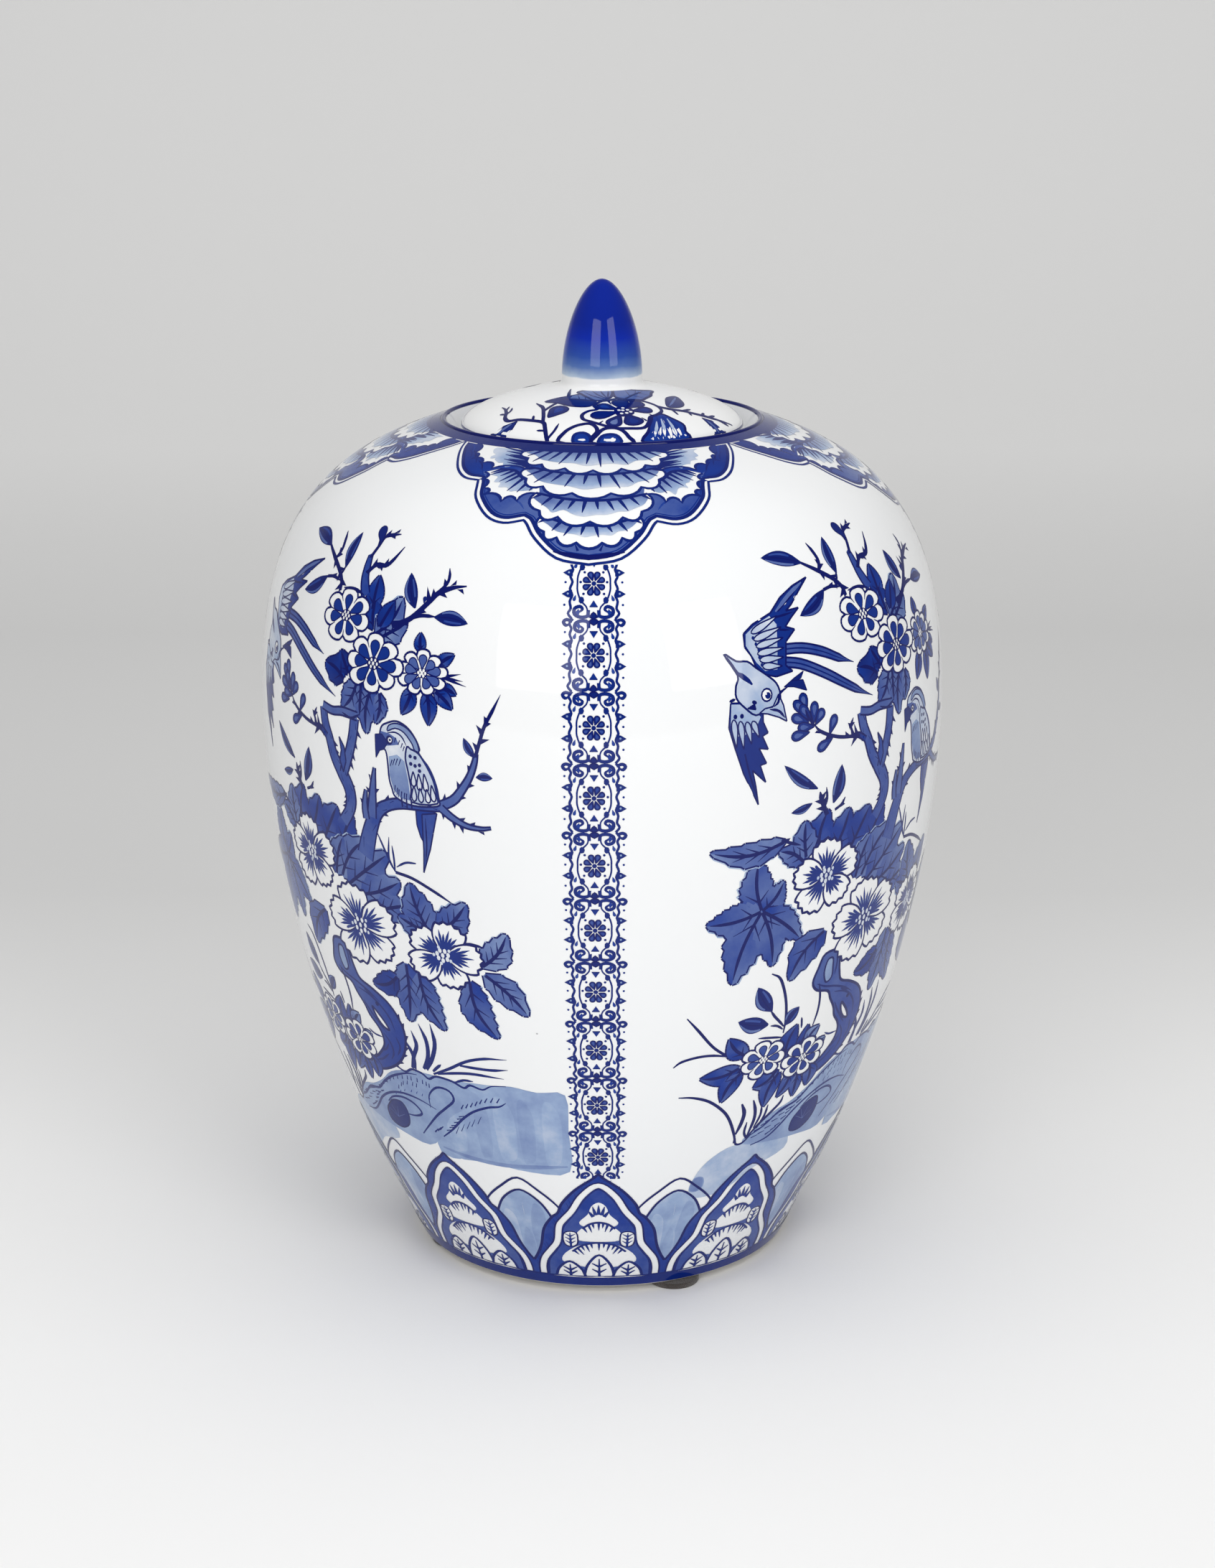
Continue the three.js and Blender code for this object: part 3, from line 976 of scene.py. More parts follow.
def paint_ground(brush):
    """Washes, rocks and grass at the foot of the scene."""
    shore = [(58, 51), (60, 66), (63, 80), (68, 82.5), (74, 83), (78, 83.6), (83, 82.3), (88.3, 82),
        (88.6, 68), (88.4, 52), (80, 50.5), (70, 52)]
    brush.fill(smooth(shore, 3, closed=True), 0.27)
    for left, right, tone in ((62, 66, 0.24), (69, 72, 0.3), (73.5, 77.5, 0.235), (78.5, 81.5, 0.3),
        (83.5, 87, 0.24)):
        middle = (left + right) / 2
        brush.outlined([(left, 56), (middle, 54), (right, 57), (right + 0.3, 72), (middle, 79), (left, 76)],
            tone, 0.3, edge=0.27)
    brush.line([(59, 54), (66, 52.5), (74, 52), (82, 53), (88, 54)], 1.6, 0.36, (0.4, 0.4))
    pool = [(20, 39), (20.5, 47), (23, 53), (27, 57), (31, 57.5), (36, 57), (43, 56), (44, 50), (36, 46),
        (30, 40), (25, 38)]
    brush.fill(smooth(pool, 3, closed=True), 0.2)
    brush.outlined([(19.9, 42), (20.6, 46.5), (22.6, 46.5), (23, 43), (21.6, 41)], 0.42, 0.4, edge=0.36)
    bank = [(30.5, 57.5), (33, 63), (37, 67.5), (41, 69.5), (45.5, 73.5), (49.5, 78.5), (55, 81.5),
        (61, 82.5), (66, 81.5), (70, 79), (68, 73), (63, 67), (60, 59), (55, 53), (47, 54), (38, 55.5)]
    brush.fill(smooth(bank, 3, closed=True), 0.3)
    lump = [(43.8, 57), (43.5, 61), (45, 64), (47, 66.5), (50, 67), (51, 63), (50, 58.5), (47, 56)]
    brush.outlined(lump, DARK, 0.6)
    lay = brush.local((47, 60))
    brush.lines([lay([(0, 0), polar(turn, 4.5)]) for turn in (30, 75, 115, 150)], 0.4, SOFT, (0.5, 0.2), 1)
    brush.lines((
        [(33, 56), (37, 57.5), (40, 61), (43, 65.5), (47, 69.3), (51.5, 71.3), (56, 71), (60, 69)],
        [(31, 59.5), (35, 62.5), (39, 67.3), (43, 69), (46, 73), (49.5, 76.8), (54, 80), (57, 80.8)],
        [(45, 65), (47.5, 68), (51, 69.5), (54, 68.5), (55.5, 65.5), (53, 63.5), (49, 63)],
        [(54, 57), (57, 62), (60, 67), (62.5, 70.5), (65, 74.5), (64.3, 77.8), (61.5, 78), (59, 74),
            (58.5, 69)],
        [(60, 58.5), (63, 62.5), (66, 67.5), (69, 71.5), (72.5, 74.3), (75, 75.3), (76.5, 77)],
        [(49, 79.5), (51.5, 81.5), (54, 80.6), (56, 82.4), (58.5, 82), (60, 80.6), (62, 82.3), (65.5, 81.9),
         (68, 80.3), (69.5, 81.8), (72, 80.9), (74, 82.7), (77, 83.4)],
        [(66, 81.5), (68.2, 83.2), (70.3, 83.4)],
    ), 0.85, DARK, (0.5, 0.3))
    for path, *look in (
        ([(36, 58.5), (38.5, 61), (41, 65.5), (44, 68.5)], 7, 2.2, 25, 1.3),
        ([(46.5, 72.5), (50, 75.8), (54, 77.6), (58, 77.8), (60, 76.8)], 11, 1.7, 80, 1.0),
        ([(48.3, 69), (52, 72.3), (56, 73), (59.5, 71.5)], 7, 1.2, 60, 0.7, 0.7),
        ([(61, 61), (63.5, 65), (66, 69.5)], 6, 2.4, 20, 0.9),
        ([(66, 71.5), (69, 73.5), (72, 76), (75.5, 76.8)], 8, 2.2, 60, 1.0),
        ([(63, 60.5), (65.5, 63), (68, 65.5), (70.5, 68)], 5, 3.6, 62, 0.6),
        ([(57.5, 59), (60, 61.5)], 3, 2.6, 45, 1.2),
        ([(32.5, 61), (36.5, 65), (41, 68), (45, 72), (49, 77)], 12, 2.6, 20, 1.1),
        ([(31.8, 58.6), (35, 60.6), (38, 64.4), (41.5, 67)], 6, 2.4, 15, 1.0),
        ([(50, 72), (53, 75.4), (57, 75.6)], 6, 1.8, 70, 0.9),
    ):
        dashes(brush, path, *look)


def paint_grass(brush):
    """Two tufts behind the rocks."""
    blades(brush, (
        [(56.3, 83), (57.5, 88), (58.8, 92.5), (58.2, 97.5)],
        [(59.3, 84), (61, 89), (61.4, 95), (60.3, 100.8)],
        [(60, 84), (62, 89), (63.3, 95), (63, 101.8)],
        [(57, 83), (57.3, 88), (56.2, 93)],
    ), 1.5)
    blades(brush, (
        [(61.5, 83), (65.5, 86.5), (69.5, 90.5), (73.5, 92.7), (77.8, 93.3)],
        [(68, 88.6), (71, 88.6), (74.5, 88.8), (77.8, 89.6)],
        [(62.5, 83.5), (67, 85.4), (71, 86.3), (76.8, 86.1)],
        [(61.5, 84), (62.8, 86), (63.8, 87.4)],
    ), 1.0)


def paint_trunk(brush):
    """The thick stem that leans out below the wide blossoms."""
    bark = [(41.5, 122), (40.3, 117.5), (39.6, 113), (41, 109.8), (44, 108.2), (45.2, 105), (46.7, 101.5),
        (47.6, 98), (49.2, 95), (50, 92), (49.6, 88), (47, 83.5), (44.5, 80.5), (46.3, 78), (50, 80.2),
        (53.2, 83.8), (55.4, 88.8), (56.4, 95), (55.6, 100.8), (53.6, 105.3), (50.2, 108.6), (47.2, 110.6),
        (46.2, 114), (45.6, 118), (45.2, 122)]
    thorns(brush, bark[14:20], 0.8, [(s, -1, 1.0) for s in (0.1, 0.22, 0.34, 0.46, 0.58, 0.7, 0.82)])
    brush.outlined(bark, 0.52, 0.9, ((41, 118), (54, 92), 0.62), 4)
    brush.outlined([(42.4, 119.5), (42, 115.5), (42.9, 111.8), (44.2, 113), (44, 117), (43.6, 119.8)], 0.3,
        0.7)
    brush.outlined([(49, 101.8), (50.3, 100), (51.7, 97.3), (52.4, 95), (51, 95.6), (49.6, 98.4)], BARE, 0.9)
    brush.lines((
        [(40.8, 112), (43, 110.3), (46, 109), (49, 107), (51.5, 104.5)],
        [(46, 107), (49, 105.8), (51.5, 103.2), (53.3, 99.5), (54, 95)],
        [(46.8, 103), (48, 100), (49.8, 96.6), (51.5, 93.5)],
        [(50.5, 93), (51.8, 90), (52, 86.5), (50.8, 83.5)],
        [(47.7, 107.3), (50.5, 105.6)],
        [(44.6, 121), (45, 117.5), (44.9, 113.5)],
        [(53.8, 93), (54.3, 89.5), (53, 86)],
        [(48, 85.5), (50, 87), (51.2, 89.5)],
        [(46, 81), (48.2, 82.6), (50.5, 85.5)],
    ), 0.75, DARK, (0.4, 0.2))
    brush.dot((50.6, 103.4), 0.8)
    brush.line([(46, 92.5), (47.6, 91.3), (49.8, 91.2)], 0.7, DARK)


def paint_low_spray(brush):
    """Small flowers and long blades at the left of the trunk."""
    for path, width in (
        ([(41.3, 112), (42.2, 107), (42.4, 102), (41.9, 97)], 0.9),
        ([(30, 119.8), (31.8, 117.8), (33.2, 113), (34.2, 107.5), (34.7, 102), (34.7, 97.5)], 1.0),
        ([(30.9, 107), (32, 104.5), (33.3, 102.2), (34.5, 100)], 0.9),
        ([(31.5, 101.3), (33, 100.7), (34.4, 99)], 0.8),
        ([(14.8, 108.5), (17, 104), (20, 97.7), (22.5, 94.2), (24.3, 92.6)], 0.9),
        ([(13, 91.3), (14.5, 93.2), (17.5, 94.3), (20.5, 94.2), (24, 92.8)], 0.9),
        ([(14.6, 79.9), (17.5, 79.3), (21, 77), (24.5, 72.2), (26.5, 67.5), (28.3, 61), (28.4, 58.5)], 1.0),
        ([(28.4, 73.8), (29.4, 70), (29.2, 66), (28.4, 62)], 1.4),
        ([(28.6, 60.5), (29, 58), (30.5, 57.8), (32.4, 60.5)], 0.8),
        ([(31, 74.3), (32, 70), (32.2, 66), (31.4, 60)], 1.2),
        ([(30.6, 66), (30.5, 62), (31.6, 59)], 0.9),
        ([(33.4, 71.5), (33.6, 67.5), (32.6, 63)], 0.9),
        ([(35, 71), (34.7, 67), (33.4, 62.5)], 0.9),
        ([(38.6, 73), (38.2, 70.5), (36.3, 67.6), (33.6, 63.8), (31.6, 60)], 1.1),
        ([(29.3, 97.6), (31, 97.2), (33, 96.6), (34.6, 96)], 0.8),
        ([(38.5, 101.5), (38.8, 99.5), (39, 97.5)], 0.8),
    ):
        brush.line(path, width, LINE, (0.4, 0.5))
    for spec in (
        ((31.2, 106.6), (27.6, 116), 5.6),
        ((30.9, 101.9), (24.5, 105), 5.8),
        ((34.8, 100.3), (37.4, 105.8), 4.6),
    ):
        slender(brush, *spec)
    leaves(brush, (((27.3, 92), (23.2, 99.3), 6.5, 0.1), ((26.3, 88), (18.4, 86), 6.6, 0.1),
        ((26.8, 86), (23.5, 76), 6, -0.1)), 0.74, ribs=1)
    leaves(brush, (((36.3, 88), (37.8, 99.3), 7, 0.1), ((39, 90), (40.7, 98), 4.5, -0.1)), 0.8, ribs=1)
    leaves(brush, (((35.2, 84.5), (30.2, 79), 8, 0.16), ((35.8, 83), (33.8, 70.6), 6.4, -0.1),
        ((39, 82), (36.7, 73), 5, 0.1), ((41, 80), (41.2, 71.5), 4.5, 0), ((44, 82), (44.5, 74), 6, 0.1)),
        0.72, ribs=1)
    leaves(brush, (((41, 91), (43.8, 96.4), 5, 0.1), ((44, 88), (46.4, 91), 4, 0)), 0.5, ribs=1)
    plum(brush, (41.2, 86), 9.2, 7.2, 7, 80)
    plum(brush, (31.3, 89.2), 8.6, 7, 7, 100, SOFT + 0.1)


def paint_wide_blossoms(brush):
    """Three wide blossoms in a bed of toothed leaves."""
    big = (26.6, 141.5)
    leaves(brush, (
        (big, (25.4, 158.2), 10.5, 0.08), (big, (30.3, 150), 7.5, -0.1), (big, (17, 139), 10.5, 0.06),
        (big, (22.4, 118.5), 13, -0.06), (big, (29.8, 122.6), 10.5, 0.06), (big, (35, 129.8), 9, 0.04),
    ), FILL, ribs=1, teeth=7, belly=0.75, spill=1.0)
    for specs, tone, ribs, teeth, spill in (
        ((((40.3, 130.5), (33.8, 116.2), 10.5, -0.12),), 0.68, 2, 4, 0.7),
        ((((36.8, 157), (38.2, 169.6), 10, 0.1), ((40, 156), (43, 168.3), 10, -0.05), ((44, 156), (48, 167.2),
            11, 0), ((48.5, 155), (51.8, 166), 9, 0.05)), 0.76, 1, 4, 0.8),
        ((((47.5, 145), (54.2, 159), 12, 0.08), ((49, 143), (59, 156.5), 12, 0), ((52, 141), (61, 148.5), 11,
            -0.05), ((46, 145), (48.8, 158), 9, 0.05), ((55, 137), (62.4, 141.6), 9, 0)), FILL - 0.02, 2, 5,
            0.9),
        ((((30, 162.5), (17, 161.8), 7.2, 0.1),), 0.58, 3, 5, 0.9),
        ((((34.3, 156), (33.7, 167.5), 8.4, 0.04), ((33.8, 155), (29, 159.5), 7, -0.1)), 0.6, 2, 4, 0.8),
    ):
        leaves(brush, specs, tone, ribs=ribs, teeth=teeth, spill=spill)
    twig(brush, [(29.3, 163.2), (30.6, 162), (33, 160.4)], 1.0, ((0.4, 1, 1.0),))
    for specs, tone, ribs, teeth, spill in (
        ((((66, 133.5), (62.8, 148.6), 11, 0.06), ((67.5, 134), (73.1, 145), 9.5, -0.06),
            ((66, 133), (59.8, 137), 8, 0)), FILL, 3, 5, 0.9),
        ((((75, 125), (79.7, 136.6), 8.8, -0.1),), 0.55, 3, 5, 0.7),
        ((((75.3, 122.5), (82.6, 109.8), 8.4, 0.05),), 0.56, 3, 4, 0.7),
        ((((72.5, 119.5), (76.7, 100.8), 9.5, -0.12),), 0.68, 2, 6, 0.7),
        ((((60, 121.5), (58.6, 101), 10.8, 0.03), ((62.5, 119.5), (66.2, 100.6), 9.5, -0.1)), FILL, 3, 6,
            0.8),
        ((((57.5, 116), (51, 110.8), 7.6, 0.12),), 0.84, 1, 4, 0.5),
    ):
        leaves(brush, specs, tone, ribs=ribs, teeth=teeth, spill=spill)
    twig(brush, [(60.3, 151.3), (63.6, 150.4), (67.4, 147.6), (70.8, 144.4)], 1.0)
    brush.lines(([(59.5, 162), (59.2, 155), (60.5, 151)], [(57, 163), (58.6, 157), (60.2, 151.5)],
        [(60.6, 153), (62.5, 155), (64.5, 155.4)], [(60, 159.5), (60.2, 155.5), (60.2, 151.5)]), 0.7, DARK,
        (0.3, 0.6))
    brush.line([(72.5, 132.3), (74, 132), (75.5, 131.5)], 0.9)
    hibiscus(brush, (38.9, 148.8), 13, 11.6, 93)
    hibiscus(brush, (67.9, 126.9), 12.6, 11.2, 72, (1, 3, 0, 2, 4))
    hibiscus(brush, (50.4, 130.2), 15.4, 13.2, 100, (3, 0, 2, 4, 1))


def paint_tree(brush):
    """Thorny limbs, the upper blossoms and the perch."""
    limb(brush, [(54, 154), (55.7, 163), (57.3, 168.5), (59.5, 171.6), (62.5, 173.2), (66.5, 173.6),
        (69.8, 174)],
         (6.5, 5, 3.8, 3, 2.8, 2.6, 2.4), 0.56,
         ((0.1, 1, 1.3), (0.22, 1, 1.2), (0.3, -1, 1.0), (0.42, -1, 1.2), (0.55, 1, 1.0)))
    limb(brush, [(56.2, 167), (56.5, 172), (56.8, 177), (57.2, 182.3)], (3.4, 2.6, 1.8, 0.7), 0.5,
         ((0.25, -1, 1.3), (0.5, 1, 1.6), (0.6, -1, 1.3), (0.8, 1, 0.8)), grain=False)
    limb(brush, [(55, 166), (54.8, 170), (55.2, 175)], (2.2, 1.8, 0.9), 0.5, ((0.6, 1, 1.0),), grain=False)
    limb(brush, [(69, 173.9), (71.8, 176.6), (73.3, 180), (74.6, 184), (75.4, 188), (75.7, 191)],
         (2.8, 2.4, 2, 1.6, 1.3, 1.0), 0.52,
         ((0.12, 1, 1.8), (0.3, -1, 1.3), (0.4, 1, 1.6), (0.52, -1, 1.4), (0.72, 1, 0.8)), grain=False)
    twig(brush, [(75.6, 190), (76.2, 194), (77, 199), (78.2, 203.5), (79.5, 208.5)], 1.1,
         ((0.2, 1, 1.6), (0.3, -1, 2.2), (0.45, 1, 2.0), (0.55, -1, 1.0), (0.62, 1, 1.0)), (1, 0.1))
    slender(brush, (75.5, 189.8), (73.6, 195.3), 2.6)
    slender(brush, (75.7, 184.2), (78.4, 184.3), 2.6)
    limb(brush, [(69.6, 173.9), (71.6, 171.3), (74, 169.4), (76.3, 169), (78, 169.5)], (2.2, 1.7, 1.2, 0.8,
        0.5), 0.5,
         ((0.1, -1, 1.5), (0.3, -1, 1.8), (0.45, -1, 1.8), (0.4, 1, 1.4), (0.6, 1, 1.0), (0.75, -1, 1.0)),
         grain=False)
    leaves(brush, (((50, 206), (45, 209.5), 8.5, -0.1), ((51, 208), (48.5, 214), 6, 0)), 0.88, ribs=1,
        teeth=3, spill=0.6)
    leaves(brush, (((53, 206), (50, 197.5), 8.5, 0.1), ((54, 206), (54, 196), 6, 0),
        ((56.5, 206), (55.6, 192), 7, -0.1), ((58, 204.5), (57.5, 195.5), 5, 0.1)), 0.62, ribs=2, teeth=4,
        spill=0.6)
    leaves(brush, (((54.2, 227.5), (53.8, 237.5), 6.4, 0), ((55.5, 222), (54.6, 230.5), 8, 0.1)), 0.8, ribs=1)
    leaves(brush, (((56, 221), (60.2, 232.4), 9, -0.12), ((57, 220), (62, 225.5), 8, 0)), 0.52, ribs=2,
        teeth=3, spill=0.9)
    leaves(brush, (((56.5, 223), (58.6, 231), 5.4, 0),), 0.84, ribs=0)
    limb(brush, [(45.2, 196.4), (45.7, 192), (46.9, 187.4), (48, 182.6), (49.9, 178.2), (51.4, 174),
        (51.7, 170), (51, 166.5), (49.5, 163)], (3.2, 3, 3, 3.2, 4.2, 4, 3.8, 3.6, 4), 0.55,
         ((0.2, -1, 0.9), (0.3, 1, 1.3), (0.36, 1, 0.9), (0.52, 1, 0.9), (0.62, 1, 1.0), (0.7, -1, 1.2),
          (0.78, -1, 1.4), (0.85, -1, 1.3)))
    limb(brush, [(52.9, 195.5), (52.5, 190), (51.7, 185), (50.7, 180.5), (50.2, 178)], (3.4, 3, 3, 3.2, 3),
        0.55,
         ((0.2, 1, 2.0), (0.36, 1, 1.3), (0.5, 1, 1.5), (0.66, 1, 2.0), (0.55, -1, 1.0)))
    brush.facet([(49.3, 188.8), (50.5, 186.2), (50.9, 182), (50.2, 178.5), (49.4, 182), (49.8, 185)], 0.6,
        0.7)
    limb(brush, [(45, 196.8), (47.5, 196), (50, 196.6), (53.5, 196.2)], (2.2, 2, 2.2, 2.4), 0.52, (), False)
    brush.line([(50, 196.3), (52, 195.3), (54, 197)], 0.8)
    limb(brush, [(51.9, 231), (50.6, 235.5), (50.1, 239.5), (49.8, 243.2)], (3.4, 2.6, 2.2, 1.6), 0.6, (),
        False)
    twig(brush, [(50, 242), (50.8, 246), (51.3, 249), (53, 250.2), (54.8, 250.8)], 1.3,
         ((0.3, 1, 0.8), (0.62, 1, 1.3), (0.78, -1, 1.0), (0.85, 1, 1.3)))
    drop(brush, (51, 247), (49.4, 252.3), 3, DARK, 0.4)
    twig(brush, [(50.5, 237.4), (52.2, 240.4), (54.4, 240.7), (55.6, 242.8), (57, 247.2)], 1.4,
         ((0.24, 1, 1.4), (0.4, -1, 1.2), (0.52, 1, 1.4), (0.3, -1, 0.8)))
    twig(brush, [(59, 224), (61.8, 226.2), (63.4, 228.4), (65.6, 232.6), (67, 235.3), (69.5, 237.2),
        (71.9, 238)], 1.7,
         ((0.15, -1, 1.0), (0.4, -1, 1.2), (0.5, 1, 3.4), (0.6, 1, 1.4), (0.72, -1, 1.8), (0.85, 1, 1.4),
          (0.93, -1, 1.6)))
    twig(brush, [(66.6, 235), (68, 237.8), (68.3, 240), (67.9, 242.7)], 1.1, ((0.35, 1, 1.2),))
    twig(brush, [(62.5, 227), (64.5, 228.2), (67.2, 228.4)], 1.1)
    slender(brush, (67, 228.3), (73.2, 227.4), 4.4)
    slender(brush, (63, 230), (60.5, 240), 4.6)
    drop(brush, (64.5, 231.8), (64.6, 233.8), 1.4)
    for base, tip, width in (((65.4, 218), (64.9, 223.4), 3.6), ((68.5, 214.5), (71.4, 218.4), 3.6),
        ((69.3, 209), (72.2, 207.2), 3), ((67, 207), (67.6, 197.6), 5), ((64.3, 207.5), (62.6, 199.6), 5),
        ((68.5, 207.5), (71.6, 203), 4.2)):
        leaves(brush, ((base, tip, width, 0.05),), 0.76, 0.4, 1)
    tips = ((73.8, 209.8), (72.8, 213.2), (73.2, 211.2))
    brush.lines([[(69.5, 211.8), tip] for tip in tips], 0.8, LINE, (1, 0.1), 2)
    plum(brush, (65.9, 212.2), 8.8, 6.8, 9, 90, SOFT + 0.06)
    plum(brush, (48.3, 224.2), 10.8, 8, 7, 92)
    plum(brush, (56.2, 212.5), 11.2, 8.8, 8, 90)


def paint_twigs(brush):
    """Slender leaves and buds that stand free of the tree."""
    limb(brush, [(46.2, 188), (44.6, 189.8), (43.2, 190)], (1.4, 1.2, 0.8), 0.7, (), False)
    twig(brush, [(44.8, 189.4), (43.2, 189.9), (40.5, 190.6), (38, 192), (36, 193.9), (34.9, 196.2)], 1.1,
         ((0.12, -1, 3.4), (0.16, 1, 2.6), (0.3, -1, 1.2), (0.62, 1, 1.2), (0.8, 1, 1.0), (0.2, -1, 2.2)))
    twig(brush, [(43.3, 190.4), (42.7, 193), (43.3, 195.4)], 0.9, ((0.5, 1, 1.0), (0.6, -1, 1.0)))
    for base, tip in (((33.5, 199.7), (32.8, 205.6)), ((34, 198.6), (31.2, 203.6)),
        ((34.5, 197), (32.4, 202.2)), ((34.9, 196.6), (35.2, 202.6)), ((33.8, 197), (30.7, 199.3)),
        ((35.3, 196), (36.9, 200)), ((34.9, 195.5), (31.8, 195.8)), ((33.9, 194), (30.6, 193.3)),
        ((38.1, 192.4), (39.4, 197.6)), ((38.6, 191), (35.6, 188.2))):
        drop(brush, base, tip, 2.9, 0.74, 0.4, 0.5)
    twig(brush, [(34.9, 195.8), (33.9, 198.3), (33.3, 200.8)], 0.9)
    for spec in (
        ((35.8, 176.7), (29.3, 185.5), 3.6),
        ((39.2, 171.2), (40.8, 182.4), 4.8, -0.06),
        ((34.8, 172.6), (30.8, 170.8), 2.6),
    ):
        slender(brush, *spec)
    twig(brush, [(38, 168), (37.2, 171), (36.6, 173.5), (36.3, 175.6)], 1.6,
         ((0.3, 1, 2.2), (0.45, -1, 1.8), (0.6, 1, 1.8), (0.72, -1, 1.8)))
    twig(brush, [(37.3, 170.5), (37.8, 173), (37.6, 176.6)], 0.9)
    twig(brush, [(39.6, 169), (41, 170.2), (41.8, 172.2)], 0.9, ((0.5, -1, 0.8),))
    for spec in (
        ((37.4, 242.4), (29.3, 245.5), 4.8, -0.05),
        ((40.4, 233.5), (34.2, 227.3), 4.6, 0.08),
        ((44.6, 237.4), (44.8, 249), 4.2),
    ):
        slender(brush, *spec)
    twig(brush, [(37.3, 242.4), (40.3, 239.4), (43.2, 236.2), (44.8, 233.4), (45.2, 230.5)], 1.4,
         ((0.35, -1, 1.4), (0.5, 1, 1.6), (0.62, -1, 1.6), (0.8, 1, 1.8), (0.9, -1, 2.0)), (0.6, 1))
    twig(brush, [(40.7, 239), (41.4, 242), (41, 245), (40.2, 248)], 1.2, ((0.2, -1, 1.2), (0.3, 1, 0.8)))
    twig(brush, [(40.4, 233.5), (42.3, 234), (44.5, 233.4)], 1.0, ((0.5, 1, 0.9),))
    twig(brush, [(43.8, 234.8), (44.3, 236.3), (44.5, 238)], 0.9)
    brush.line([(46, 231.8), (49, 232.2), (51.5, 231)], 0.9)


def feathers(brush, specs, width, tone, edge=0.45):
    """Rounded feathers as (root, tip)."""
    for base, tip in specs:
        drop(brush, tip, base, width, tone, edge)


